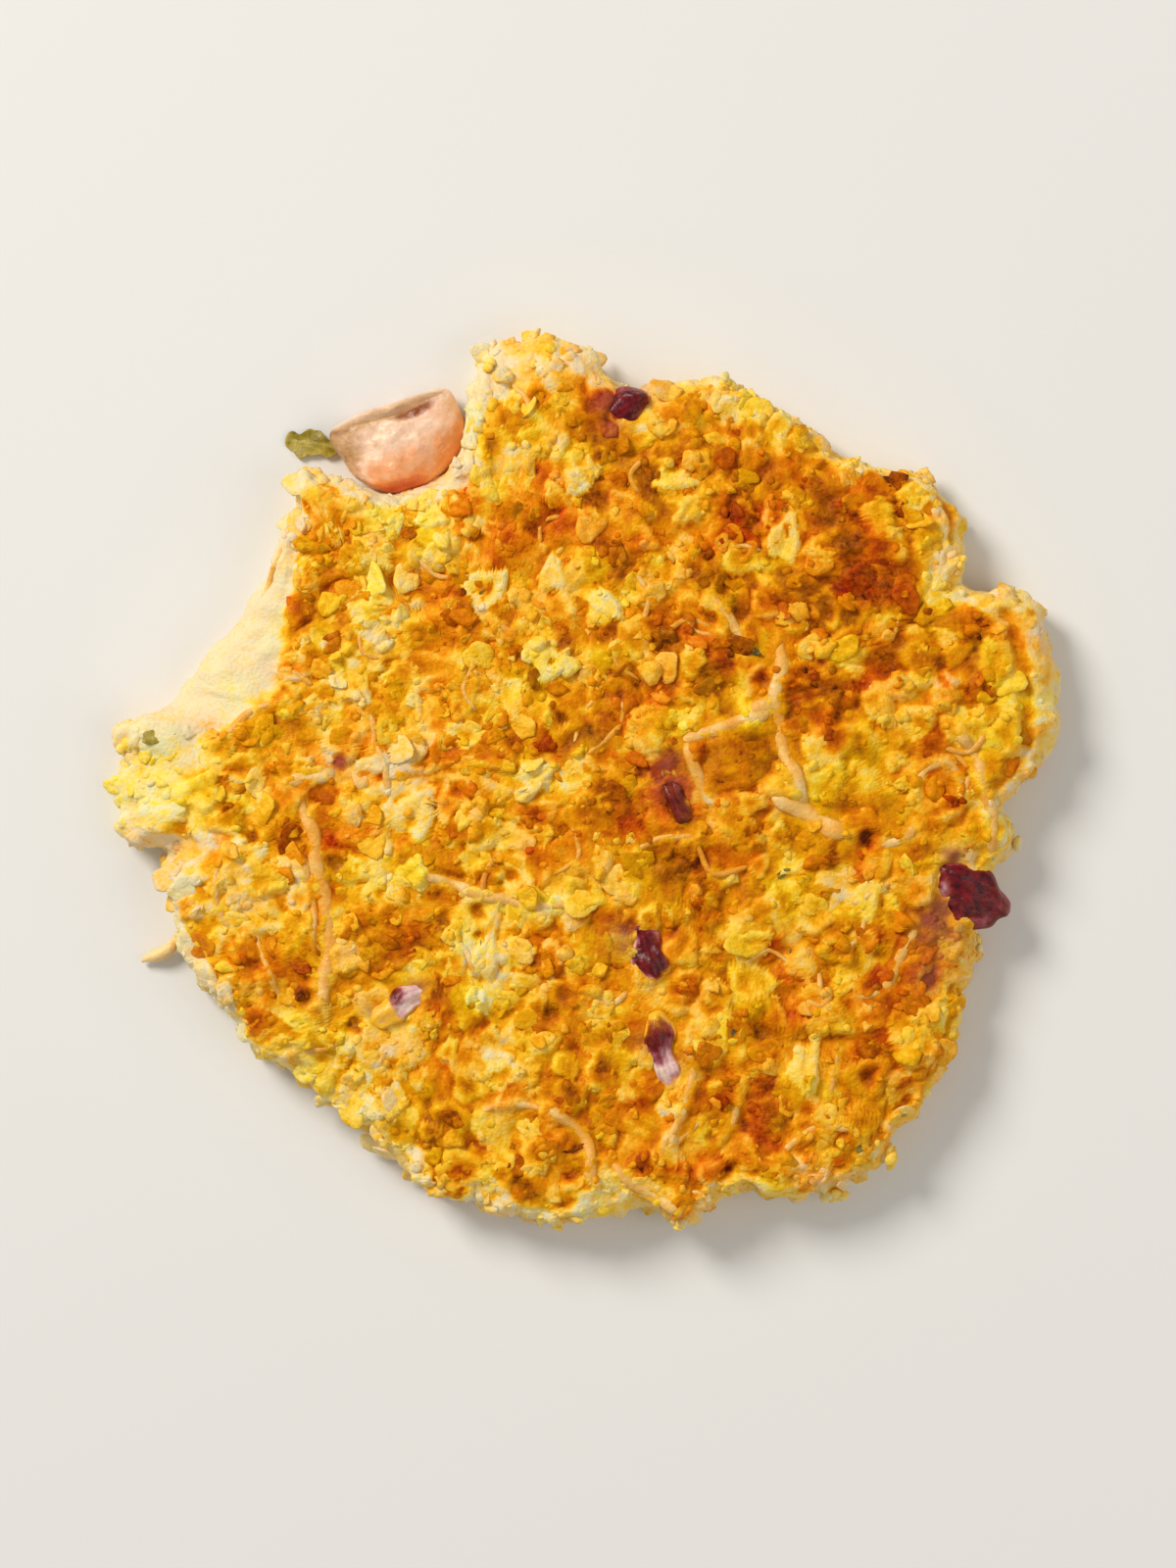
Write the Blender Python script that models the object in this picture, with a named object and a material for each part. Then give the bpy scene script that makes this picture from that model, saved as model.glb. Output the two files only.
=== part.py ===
"""A pan-fried oat pancake with chopped tomato, red onion and a herb leaf, browned face up.

Metres, +Z up. The pancake lies on z = 0, its longest side along X, and the origin is the
middle of its base. Angles are in degrees, counter-clockwise from +X.
"""

import math
import random

import bmesh
import bpy
from mathutils import Euler, Matrix, Vector

MM = 0.001

# Driving sizes of the pancake.
BASE_RADIUS = 58.8 * MM
THICKNESS = 11.0 * MM
FACE_FALL = 1.0 * MM  # how much lower the browned face is at its edge than at its middle
FACE_WAVE = 0.35 * MM
CRUST_STEP = 0.8 * MM  # the crust stands this far above the pale batter round it
WIDEST_HEIGHT = 3.2 * MM  # the side bulges furthest out at this height
TUCK = 1.8 * MM  # the underside is this much smaller than the widest outline
RIM_BAND = 2.4 * MM  # pale batter seen round the crust

# The uneven outline: (angle, how far it reaches past the base radius in mm, half width in degrees).
OUTLINE_LOBES = (
    (16, 9.0, 12),
    (40, 5.5, 7),
    (50, -1.5, 25),
    (83, -4.5, 5),
    (103, 7.0, 10),
    (115, -10.5, 13),
    (132, 4.0, 5),
    (150, -6.5, 17),
    (178, 6.0, 10),
    (231, -3.5, 10),
    (264, 1.5, 12),
    (301, 2.5, 5),
    (310, 6.0, 16),
    (344, -2.5, 5),
)
# Where the pale band is wider than RIM_BAND: (angle, extra width in mm, half width in degrees).
WIDE_BANDS = (
    (12, 2.5, 9),
    (28, 3.5, 6),
    (102, 4.5, 7),
    (167, 9.0, 13),
    (179, 4.0, 5),
    (187, 6.5, 5),
    (232, 2.5, 9),
    (334, 3.0, 11),
    (351, 2.5, 6),
)
# Crumbly unevenness of the edge: (waves round the edge, height in mm, phase in radians).
EDGE_RIPPLES = ((13, 0.3, 0.6), (23, 0.35, 2.1), (37, 0.3, 4.4))

# The square grid that is rolled out into the round body: rings of the face, of the side, and below.
FACE_RINGS = 11
SIDE_STEPS = (0.06, 0.55, 1.0)
TUCK_STEPS = ((0.22, 0.36), (1.0, 0.0))  # (share of TUCK, share of WIDEST_HEIGHT)

# Oat flakes that stand out of the face and of the side.
FLAKE_SEED = 15
FACE_FLAKES = 176
RIM_FLAKES = 36
FLAKE_SIDES = 6
FLAKE_LENGTH = (4.6 * MM, 7.8 * MM)
FLAKE_BREADTH = (0.62, 0.86)  # of its length
FLAKE_THICKNESS = 1.6 * MM
FLAKE_PROUD = (0.35 * MM, 0.85 * MM)  # how much of a flake stands above the batter
FLAKE_TOP = 0.7  # width of a flake's flat top as a share of its base
FLAKE_UNEVEN = 0.2  # share by which a flake's corners lie nearer or further out
FLAKE_TILT = 9.0
RIM_FLAKE_TILT = 26.0
FLAKE_SCATTER = 2.2 * MM  # how far a flake may lie from its even place
KEEP_CLEAR = 0.4 * MM  # between a flake and a vegetable piece

# Grated shreds fused on the face: name, width and thickness in mm, then points (x, y) in mm.
SHREDS = (
    ("left", 2.0, 1.2, ((-38.0, -1.5), (-35.0, -10), (-34.0, -18), (-35.2, -26), (-36.4, -31))),
    ("fork_stem", 1.7, 1.1, ((24.7, 19.6), (26.3, 13), (27.6, 4), (26.6, -1.4))),
    ("fork_arm", 1.6, 1.1, ((12.6, 5.7), (20, 7.9), (26.4, 9.7))),
    ("fork_leg", 2.3, 1.3, ((26.4, -1.2), (31, -4.2), (35, -6.4), (39.6, -7.6))),
    ("inner", 1.5, 1.1, ((16.4, 3.2), (17.8, -1.2), (20.4, -4.8), (24.8, -5.8))),
    ("right", 1.6, 1.1, ((50.4, 8.0), (52.2, 2.4), (53.6, -2.4))),
    ("lower_right", 1.5, 1.1, ((37.2, -28), (40.4, -23.4), (42.6, -18.6))),
    ("bottom", 1.8, 1.2, ((-6.2, -42.4), (-0.8, -45.2), (2.2, -50.4), (8.4, -55.2), (14.6, -57.0))),
    ("middle", 1.6, 1.1, ((-22.4, -11.8), (-15, -14.6), (-7.6, -16.2), (-0.4, -16.4))),
)
SHRED_SIDES = 6
SHRED_STEP = 3.2 * MM
SHRED_SINK = 0.15 * MM  # a shred's middle line lies this far under the batter's surface
HOOK_WIDTH = 1.7 * MM
HOOK_POINTS = ((-49.0, -15.0, 3.4), (-54.0, -19.0, 2.6), (-57.2, -23.2, 1.5), (-59.6, -23.8, 1.0))

# Pieces of red onion in the batter:
# name, (x, y) in mm, heading, (length, width, thickness) in mm, tilt, how far the top is above the batter.
ONION_PIECES = (
    ("red_onion_right", (52.6, -14.6), -38, (11.0, 7.4, 3.6), 8, 0.7),
    ("red_onion_top", (5.6, 51.6), 30, (6.4, 4.6, 3.0), -6, 0.3),
    ("red_onion_upper", (8.6, -22.5), 108, (8.6, 4.8, 2.6), 6, 0.45),
    ("red_onion_lower", (10.6, -36.2), 104, (12.4, 4.4, 2.6), -5, 0.45),
    ("red_onion_left", (-25.2, -29.8), 34, (9.4, 4.8, 2.6), 6, 0.45),
    ("red_onion_middle", (12.2, -1.8), 112, (8.0, 3.4, 2.4), 5, 0.35),
)
ONION_BEND = 24.0  # degrees that a slice curves through along its length
ONION_SEGMENTS = 6
ONION_EDGE = 0.5 * MM

# The chopped tomato that lies in the notch at the upper left, and the herb leaf at its end.
TOMATO_PLACE = Vector((-25.2, 48.8, 0.0)) * MM
TOMATO_HEADING = 25.0
TOMATO_SIZE = Vector((21.5, 14.4, 9.2)) * MM
TOMATO_CUT = 0.34  # the cut face lies this share of the half width from the middle
TOMATO_CUT_FACING = (0.12, 1.0, 0.35)
TOMATO_FOOT = 0.72  # the piece is cut flat below this share of its half height
LEAF_PLACE = Vector((-37.9, 47.2, 0.0)) * MM
LEAF_HEADING = 62.0
LEAF_SIZE = Vector((7.0, 3.8, 0.7)) * MM
LEAF_WAVE = 0.8 * MM

GAP = 0.3 * MM  # clearance between a vegetable piece and the pocket that it lies in
POCKET_GROWTH = 2 * GAP
NOTCH_TALLNESS = 8.0  # the notch is this many times as tall as the tomato, so it opens upwards

COLOURS = {
    "batter": ((0.62, 0.27, 0.035), 0.45),
    "onion": ((0.12, 0.008, 0.025), 0.35),
    "tomato": ((0.80, 0.24, 0.10), 0.3),
    "herb": ((0.17, 0.20, 0.03), 0.5),
}


def clear_scene():
    for obj in list(bpy.data.objects):
        bpy.data.objects.remove(obj)


def material(name):
    colour, roughness = COLOURS[name]
    made = bpy.data.materials.new(name)
    made.use_nodes = True
    shader = made.node_tree.nodes["Principled BSDF"]
    shader.inputs["Base Color"].default_value = (*colour, 1.0)
    shader.inputs["Roughness"].default_value = roughness
    shader.inputs["Metallic"].default_value = 0.0
    return made


def add_object(name, bm, look=None):
    """A new mesh object from a closed bmesh, faces outwards. The bmesh is freed."""
    bmesh.ops.recalc_face_normals(bm, faces=bm.faces)
    if bm.calc_volume(signed=True) < 0:
        bmesh.ops.reverse_faces(bm, faces=bm.faces)
    mesh = bpy.data.meshes.new(name)
    bm.to_mesh(mesh)
    bm.free()
    obj = bpy.data.objects.new(name, mesh)
    bpy.context.scene.collection.objects.link(obj)
    if look:
        mesh.materials.append(look)
    return obj


def bump(angle, centre, half_width):
    """1 at the centre angle, falling smoothly to 0 about two half widths away."""
    apart = (angle - centre + 180.0) % 360.0 - 180.0
    return math.exp(-((apart / half_width) ** 2))


def outer_radius(angle):
    """The pancake's widest outline at this angle in degrees."""
    radius = BASE_RADIUS
    for centre, reach, half_width in OUTLINE_LOBES:
        radius += reach * MM * bump(angle, centre, half_width)
    for waves, height, phase in EDGE_RIPPLES:
        radius += height * MM * math.sin(waves * math.radians(angle) + phase)
    return radius


def crust_radius(angle):
    """The edge of the browned face at this angle."""
    band = RIM_BAND
    for centre, extra, half_width in WIDE_BANDS:
        band += extra * MM * bump(angle, centre, half_width)
    return outer_radius(angle) - band


def face_height(x, y):
    """Height of the browned face: nearly flat, lower at its edge, with a slow wave."""
    fall = FACE_FALL * (x * x + y * y) / BASE_RADIUS**2
    wave = FACE_WAVE * (math.sin(x / (11 * MM) + 0.7) + math.cos(y / (13 * MM) - x / (29 * MM)))
    return THICKNESS - fall + wave


def side_height(x, y, share):
    """Height of the side, share 0 at the crust's edge and 1 at the widest outline."""
    edge = face_height(x, y) - CRUST_STEP
    return WIDEST_HEIGHT + (edge - WIDEST_HEIGHT) * math.sqrt(max(0.0, 1.0 - share**2.2))


def batter_height(x, y):
    """Height of the batter's surface, seen from above, at any point inside the outline."""
    angle = math.degrees(math.atan2(y, x))
    radius = math.hypot(x, y)
    crust, outer = crust_radius(angle), outer_radius(angle)
    if radius <= crust:
        return face_height(x, y)
    return side_height(x, y, min(1.0, (radius - crust) / (outer - crust)))


def round_grid(rings):
    """A square grid of 2 * rings cells a side as {(i, j): (ring, angle in degrees)}."""
    places = {}
    for i in range(-rings, rings + 1):
        for j in range(-rings, rings + 1):
            ring = max(abs(i), abs(j))
            if ring == 0:
                turn = 0.0
            elif abs(i) >= abs(j):
                turn = 45.0 * j / i + (180.0 if i < 0 else 0.0)
            else:
                turn = 90.0 - 45.0 * i / j + (180.0 if j < 0 else 0.0)
            places[i, j] = (ring, turn)
    return places


def body_point(ring, angle):
    """The point of the body's skin on this ring, from the middle of the face down to the underside."""
    outer, crust = outer_radius(angle), crust_radius(angle)
    direction = Vector((math.cos(math.radians(angle)), math.sin(math.radians(angle)), 0.0))
    if ring <= FACE_RINGS:
        point = direction * (crust * ring / FACE_RINGS)
        point.z = face_height(point.x, point.y)
        return point
    step = ring - FACE_RINGS - 1
    if step < len(SIDE_STEPS):
        share = SIDE_STEPS[step]
        point = direction * (crust + (outer - crust) * share)
        point.z = side_height(point.x, point.y, share)
        return point
    inwards, height = TUCK_STEPS[step - len(SIDE_STEPS)]
    point = direction * (outer - TUCK * inwards)
    point.z = WIDEST_HEIGHT * height
    return point


def make_core():
    """The body without its flakes: one closed skin with a flat underside."""
    rings = FACE_RINGS + len(SIDE_STEPS) + len(TUCK_STEPS)
    bm = bmesh.new()
    verts = {}
    for place, (ring, angle) in round_grid(rings).items():
        verts[place] = bm.verts.new(body_point(ring, angle))
    for i in range(-rings, rings):
        for j in range(-rings, rings):
            bm.faces.new((verts[i, j], verts[i + 1, j], verts[i + 1, j + 1], verts[i, j + 1]))
    rim = [edge for edge in bm.edges if edge.is_boundary]
    bmesh.ops.contextual_create(bm, geom=rim)
    return add_object("oat_pancake", bm, material("batter"))


def make_flake(name, place, lean, draw):
    """One oat flake: a low, uneven frustum with few sides that stands a little above the batter."""
    length = draw.uniform(*FLAKE_LENGTH)
    breadth = length * draw.uniform(*FLAKE_BREADTH)
    spin = draw.uniform(0, math.tau)
    proud = draw.uniform(*FLAKE_PROUD)
    corners = [draw.uniform(1 - FLAKE_UNEVEN, 1 + FLAKE_UNEVEN) for _ in range(FLAKE_SIDES)]
    bm = bmesh.new()
    bmesh.ops.create_cone(
        bm, cap_ends=True, segments=FLAKE_SIDES, radius1=0.5, radius2=0.5 * FLAKE_TOP, depth=1.0
    )
    for vert in bm.verts:
        corner = round(math.atan2(vert.co.y, vert.co.x) / math.tau * FLAKE_SIDES)
        vert.co.xy *= corners[corner % FLAKE_SIDES]
    middle = place + Vector((0, 0, proud - FLAKE_THICKNESS / 2))
    size = Matrix.Diagonal((length, breadth, FLAKE_THICKNESS, 1.0))
    bm.transform(Matrix.Translation(middle) @ lean @ Matrix.Rotation(spin, 4, "Z") @ size)
    return add_object(name, bm)


def clear_of_pieces(x, y):
    """True where a flake at this place lies clear of every vegetable piece."""
    reach = FLAKE_LENGTH[1] / 2 + KEEP_CLEAR
    for _, (px, py), _, (length, breadth, _), _, _ in ONION_PIECES:
        if math.hypot(x - px * MM, y - py * MM) < reach + (length + breadth) / 4 * MM:
            return False
    tomato = math.hypot(x - TOMATO_PLACE.x, y - TOMATO_PLACE.y)
    return tomato > reach + TOMATO_SIZE.x / 2


def make_face_flakes(draw):
    """Flakes spread over the face, each near its own place on a golden angle spiral."""
    golden = math.pi * (3.0 - math.sqrt(5.0))
    flakes = []
    for number in range(FACE_FLAKES):
        angle = number * golden
        radius = crust_radius(math.degrees(angle)) * math.sqrt((number + 0.5) / FACE_FLAKES)
        x = radius * math.cos(angle) + draw.uniform(-FLAKE_SCATTER, FLAKE_SCATTER)
        y = radius * math.sin(angle) + draw.uniform(-FLAKE_SCATTER, FLAKE_SCATTER)
        tilt = [math.radians(draw.uniform(-FLAKE_TILT, FLAKE_TILT)) for _ in range(2)]
        if clear_of_pieces(x, y):
            place = Vector((x, y, batter_height(x, y)))
            lean = Euler((tilt[0], tilt[1], 0.0)).to_matrix().to_4x4()
            flakes.append(make_flake(f"flake_{number}", place, lean, draw))
    return flakes


def make_rim_flakes(draw):
    """Flakes along the side, leaning outwards."""
    flakes = []
    for number in range(RIM_FLAKES):
        angle = (number + draw.uniform(-0.3, 0.3)) * 360.0 / RIM_FLAKES
        crust, outer = crust_radius(angle), outer_radius(angle)
        radius = crust + (outer - crust) * draw.uniform(0.3, 0.7)
        x, y = radius * math.cos(math.radians(angle)), radius * math.sin(math.radians(angle))
        if clear_of_pieces(x, y):
            place = Vector((x, y, batter_height(x, y)))
            lean = Matrix.Rotation(math.radians(angle), 4, "Z")
            lean = lean @ Matrix.Rotation(math.radians(RIM_FLAKE_TILT), 4, "Y")
            flakes.append(make_flake(f"rim_flake_{number}", place, lean, draw))
    return flakes


def smooth_path(points, spacing):
    """Points about this far apart on a Catmull-Rom curve through the given ones."""
    ends = [points[0] * 2 - points[1], *points, points[-1] * 2 - points[-2]]
    path = []
    for before, start, end, after in zip(ends, ends[1:], ends[2:], ends[3:]):
        steps = max(1, round((end - start).length / spacing))
        for step in range(steps):
            t = step / steps
            path.append(
                0.5
                * (
                    2 * start
                    + (end - before) * t
                    + (2 * before - 5 * start + 4 * end - after) * t**2
                    + (3 * start - before - 3 * end + after) * t**3
                )
            )
    return [*path, points[-1]]


def make_shred(name, path, width, thickness):
    """A strip of oval section along a path, tapered at both ends."""
    bm = bmesh.new()
    loops = []
    for number, point in enumerate(path):
        ahead = path[min(number + 1, len(path) - 1)] - path[max(number - 1, 0)]
        across = Vector((-ahead.y, ahead.x, 0.0)).normalized()
        taper = 0.55 if number in (0, len(path) - 1) else 1.0
        loop = []
        for side in range(SHRED_SIDES):
            turn = 2 * math.pi * side / SHRED_SIDES
            offset = across * (math.cos(turn) * width / 2) + Vector((0, 0, math.sin(turn) * thickness / 2))
            loop.append(bm.verts.new(point + offset * taper))
        loops.append(loop)
    for first, second in zip(loops, loops[1:]):
        for side in range(SHRED_SIDES):
            following = (side + 1) % SHRED_SIDES
            bm.faces.new((first[side], first[following], second[following], second[side]))
    bm.faces.new(loops[0])
    bm.faces.new(loops[-1])
    return add_object(name, bm)


def make_shreds():
    """The grated shreds on the face, and the small hook that sticks out at the left."""
    made = []
    for name, width, thickness, points in SHREDS:
        flat = [Vector((x, y, 0.0)) * MM for x, y in points]
        path = smooth_path(flat, SHRED_STEP)
        for point in path:
            point.z = batter_height(point.x, point.y) - SHRED_SINK
        made.append(make_shred(f"shred_{name}", path, width * MM, thickness * MM))
    hook = smooth_path([Vector(point) * MM for point in HOOK_POINTS], SHRED_STEP)
    made.append(make_shred("shred_hook", hook, HOOK_WIDTH, HOOK_WIDTH))
    return made


def combine(core, others, operation):
    """One Boolean of the core with a collection of pieces, which are then removed."""
    group = bpy.data.collections.new("pieces")
    bpy.context.scene.collection.children.link(group)
    for obj in others:
        bpy.context.scene.collection.objects.unlink(obj)
        group.objects.link(obj)
    modifier = core.modifiers.new("combine", "BOOLEAN")
    modifier.operation = operation
    modifier.operand_type = "COLLECTION"
    modifier.collection = group
    modifier.solver = "MANIFOLD"
    bpy.context.view_layer.objects.active = core
    bpy.ops.object.modifier_apply(modifier=modifier.name)
    for obj in others:
        bpy.data.objects.remove(obj)
    bpy.data.collections.remove(group)


def drop_scraps(obj):
    """Keeps the largest connected body of a mesh."""
    bm = bmesh.new()
    bm.from_mesh(obj.data)
    left = set(bm.verts)
    bodies = []
    while left:
        found = [left.pop()]
        for vert in found:
            for edge in vert.link_edges:
                other = edge.other_vert(vert)
                if other in left:
                    left.remove(other)
                    found.append(other)
        bodies.append(found)
    bodies.sort(key=len)
    scraps = [vert for body in bodies[:-1] for vert in body]
    bmesh.ops.delete(bm, geom=scraps, context="VERTS")
    bm.to_mesh(obj.data)
    bm.free()


def make_onion(name, place, heading, size, tilt, proud, growth=0.0, look=None):
    """A curved slice of onion with bevelled edges, lying in the batter. Growth widens it for its pocket."""
    length, width, thickness = (side * MM + growth for side in size)
    bm = bmesh.new()
    bmesh.ops.create_cube(bm, size=1.0)
    bmesh.ops.transform(bm, matrix=Matrix.Diagonal((length, width, thickness, 1.0)), verts=bm.verts)
    along = [edge for edge in bm.edges if abs(edge.verts[0].co.x - edge.verts[1].co.x) > length / 2]
    bmesh.ops.subdivide_edges(bm, edges=along, cuts=ONION_SEGMENTS - 1)
    sharp = [edge for edge in bm.edges if edge.calc_face_angle(0.0) > 1.0]
    bmesh.ops.bevel(bm, geom=sharp, offset=ONION_EDGE, segments=1, affect="EDGES")
    bend_radius = size[0] * MM / math.radians(ONION_BEND)
    for vert in bm.verts:
        turn = vert.co.x / bend_radius
        radius = bend_radius + vert.co.y
        vert.co.x, vert.co.y = radius * math.sin(turn), radius * math.cos(turn) - bend_radius
    x, y = place[0] * MM, place[1] * MM
    top = batter_height(x, y) + proud * MM
    middle = Vector((x, y, top - size[2] * MM / 2))
    turn = Matrix.Rotation(math.radians(heading), 4, "Z") @ Matrix.Rotation(math.radians(tilt), 4, "Y")
    bm.transform(Matrix.Translation(middle) @ turn)
    return add_object(name, bm, look)


def make_tomato(name, growth=0.0, tallness=1.0, look=None):
    """A chopped piece of tomato: a long rounded wedge with one flat cut face and a flat foot.

    Growth widens it for its notch in the batter, and tallness makes that notch open at the top.
    """
    bm = bmesh.new()
    bmesh.ops.create_uvsphere(bm, u_segments=24, v_segments=14, radius=0.5)
    size = TOMATO_SIZE + Vector((growth, growth, growth))
    bm.transform(Matrix.Diagonal((size.x, size.y, size.z * tallness, 1.0)))
    cut = TOMATO_SIZE.y / 2 * TOMATO_CUT + growth / 2
    flatten(bm, Vector((0, cut, 0)), Vector(TOMATO_CUT_FACING).normalized())
    foot = TOMATO_SIZE.z / 2 * TOMATO_FOOT
    flatten(bm, Vector((0, 0, -foot - growth)), Vector((0, 0, -1)))
    turn = Matrix.Rotation(math.radians(TOMATO_HEADING), 4, "Z")
    bm.transform(Matrix.Translation(TOMATO_PLACE + Vector((0, 0, foot))) @ turn)
    return add_object(name, bm, look)


def flatten(bm, point, normal):
    """Cuts a closed bmesh off at a plane and fills the cut."""
    everything = [*bm.verts, *bm.edges, *bm.faces]
    cut = bmesh.ops.bisect_plane(
        bm, geom=everything, plane_co=point, plane_no=normal, clear_outer=True, dist=1e-7
    )
    rim = [part for part in cut["geom_cut"] if isinstance(part, bmesh.types.BMEdge)]
    bmesh.ops.contextual_create(bm, geom=rim)


def make_leaf(look):
    """A thin wavy leaf with a pointed end, both faces split alike."""
    steps, cross = 8, 3
    bm = bmesh.new()
    faces = []
    for level in (0.0, LEAF_SIZE.z):
        rows = []
        for i in range(steps + 1):
            along = i / steps
            half = LEAF_SIZE.y / 2 * (0.12 + math.sin(math.pi * along**0.8) ** 0.7 * 0.88)
            row = []
            for j in range(cross + 1):
                across = 2 * j / cross - 1
                wave = LEAF_WAVE * (0.5 + 0.5 * math.sin(2.2 * math.pi * along + across))
                row.append(bm.verts.new(((along - 0.5) * LEAF_SIZE.x, across * half, level + wave)))
            rows.append(row)
        faces.append(rows)
    for rows in faces:
        for i in range(steps):
            for j in range(cross):
                a, b = rows[i][j], rows[i + 1][j]
                c, d = rows[i + 1][j + 1], rows[i][j + 1]
                bm.faces.new((a, b, c))
                bm.faces.new((a, c, d))
    lower, upper = faces
    border = [(i, 0) for i in range(steps)] + [(steps, j) for j in range(cross)]
    border += [(i, cross) for i in range(steps, 0, -1)] + [(0, j) for j in range(cross, 0, -1)]
    for (i, j), (k, m) in zip(border, border[1:] + border[:1]):
        bm.faces.new((lower[i][j], lower[k][m], upper[k][m], upper[i][j]))
    turn = Matrix.Rotation(math.radians(LEAF_HEADING), 4, "Z")
    bm.transform(Matrix.Translation(LEAF_PLACE) @ turn)
    return add_object("herb_leaf", bm, look)


def centre_on_base(objects):
    """Moves the meshes so that the origin is the middle of their common base."""
    corners = [vert.co for obj in objects for vert in obj.data.vertices]
    lowest = Vector([min(co[axis] for co in corners) for axis in range(3)])
    highest = Vector([max(co[axis] for co in corners) for axis in range(3)])
    middle = (lowest + highest) / 2
    shift = Matrix.Translation((-middle.x, -middle.y, -lowest.z))
    for obj in objects:
        obj.data.transform(shift)


def main():
    clear_scene()
    draw = random.Random(FLAKE_SEED)
    pancake = make_core()
    combine(pancake, make_face_flakes(draw) + make_rim_flakes(draw) + make_shreds(), "UNION")
    drop_scraps(pancake)
    pockets = [make_onion("pocket_" + piece[0], *piece[1:], growth=POCKET_GROWTH) for piece in ONION_PIECES]
    pockets.append(make_tomato("notch", growth=POCKET_GROWTH, tallness=NOTCH_TALLNESS))
    combine(pancake, pockets, "DIFFERENCE")
    drop_scraps(pancake)
    onion_look = material("onion")
    pieces = [make_onion(*piece, look=onion_look) for piece in ONION_PIECES]
    pieces.append(make_tomato("tomato_piece", look=material("tomato")))
    pieces.append(make_leaf(material("herb")))
    centre_on_base([pancake, *pieces])


main()
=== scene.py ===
"""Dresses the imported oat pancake: crumbly fried batter, oat flakes, grated shreds and vegetables.

Metres, +Z up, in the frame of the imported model. Angles are in degrees, counter-clockwise from +X.
The outline and heights are the ones that the solid was made from, and are repeated here.
"""

import math
import random

import bpy
import numpy as np
from bpy.props import FloatProperty, FloatVectorProperty, IntProperty, PointerProperty
from mathutils import Matrix, Vector, noise
from mathutils.bvhtree import BVHTree


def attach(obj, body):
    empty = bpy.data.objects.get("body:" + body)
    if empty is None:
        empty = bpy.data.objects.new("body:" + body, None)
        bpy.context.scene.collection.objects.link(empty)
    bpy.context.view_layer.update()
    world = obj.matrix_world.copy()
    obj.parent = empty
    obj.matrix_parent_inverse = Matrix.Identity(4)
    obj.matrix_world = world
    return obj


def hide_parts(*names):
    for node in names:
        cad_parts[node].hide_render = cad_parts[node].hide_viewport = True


bl_info = {
    "name": "Oat pancake",
    "version": (1, 0, 0),
    "blender": (4, 5, 0),
    "location": "3D View > Sidebar > Pancake",
    "description": "Builds a pan-fried oat pancake with tomato, red onion and herbs",
    "category": "Object",
}

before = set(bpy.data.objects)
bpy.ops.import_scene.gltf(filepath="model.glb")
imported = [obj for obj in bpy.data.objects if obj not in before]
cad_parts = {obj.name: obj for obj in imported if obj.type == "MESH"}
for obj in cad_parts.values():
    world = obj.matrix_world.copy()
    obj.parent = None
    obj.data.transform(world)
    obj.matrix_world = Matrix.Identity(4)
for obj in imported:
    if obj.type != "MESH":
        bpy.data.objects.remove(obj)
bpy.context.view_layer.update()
BODY = "root"
MM = 0.001

# The solid's own sizes, and where its outline's middle lies in the frame.
SHIFT = np.array((-0.4481, -0.1615)) * MM
BASE_RADIUS = 58.8 * MM
THICKNESS = 11.0 * MM
FACE_FALL = 1.0 * MM
FACE_WAVE = 0.35 * MM
CRUST_STEP = 0.8 * MM
WIDEST_HEIGHT = 3.2 * MM
TUCK = 1.8 * MM
RIM_BAND = 2.4 * MM
# (angle, how far it reaches past the base radius in mm, half width in degrees)
OUTLINE_LOBES = (
    (6, 1.7, 4), (15, -1, 3), (16, 9, 12), (21.5, 2.4, 2.6), (27.8, -3.4, 2.4), (35, 0.8, 4),
    (40, 5.5, 7), (50, -1.5, 25), (50, 1.2, 2.5), (69.5, 1.2, 2.5), (75.5, -0.9, 2.5), (83, -4.5, 5),
    (103, 7, 10), (115, -10.5, 13), (129, -2.4, 2.4), (132, 4, 5), (136.5, -2.2, 2.6), (142, -1, 3),
    (150, -6.5, 17), (169, -2.6, 2.6), (172.8, 1.8, 2.6), (178, 6, 10), (185.8, 3.2, 2.2),
    (188.8, -3.4, 2.2), (231, -3.5, 10), (264, 1.5, 12), (277, -1.4, 2.4), (283, 2, 2.4), (301, 2.5, 5),
    (310, 6, 16), (312, -1.2, 2.4), (321.5, 1.5, 3), (344, -2.5, 5), (352.4, 1.6, 2.4),
    (357.2, -2.6, 2.4),
)
# Where the pale band round the crust is wider: (angle, extra width in mm, half width in degrees).
WIDE_BANDS = (
    (12, 2.5, 9), (28, 3.5, 6), (102, 4.5, 7), (167, 9, 13), (179, 4, 5), (187, 6.5, 5), (232, 2.5, 9),
    (334, 3, 11), (351, 2.5, 6),
)
EDGE_RIPPLES = ((13, 0.3, 0.6), (23, 0.35, 2.1), (37, 0.3, 4.4))

# The round grid of the batter: rings of the browned face, of the side and of the tuck below it.
FACE_RINGS = 118
SIDE_RINGS = 20
TUCK_RINGS = 6
RINGS = FACE_RINGS + SIDE_RINGS + TUCK_RINGS
# Nothing stands higher than this, so that the dressed pancake keeps the solid's size.
TALLEST = 12.8 * MM
# Nothing that is stuck on reaches lower than this, so that the underside stays flat.
LOWEST = 0.05 * MM
UNDERSIDE_LOOPS = (0.985, 0.95, 0.9, 0.82, 0.7, 0.5, 0.25)

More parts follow.
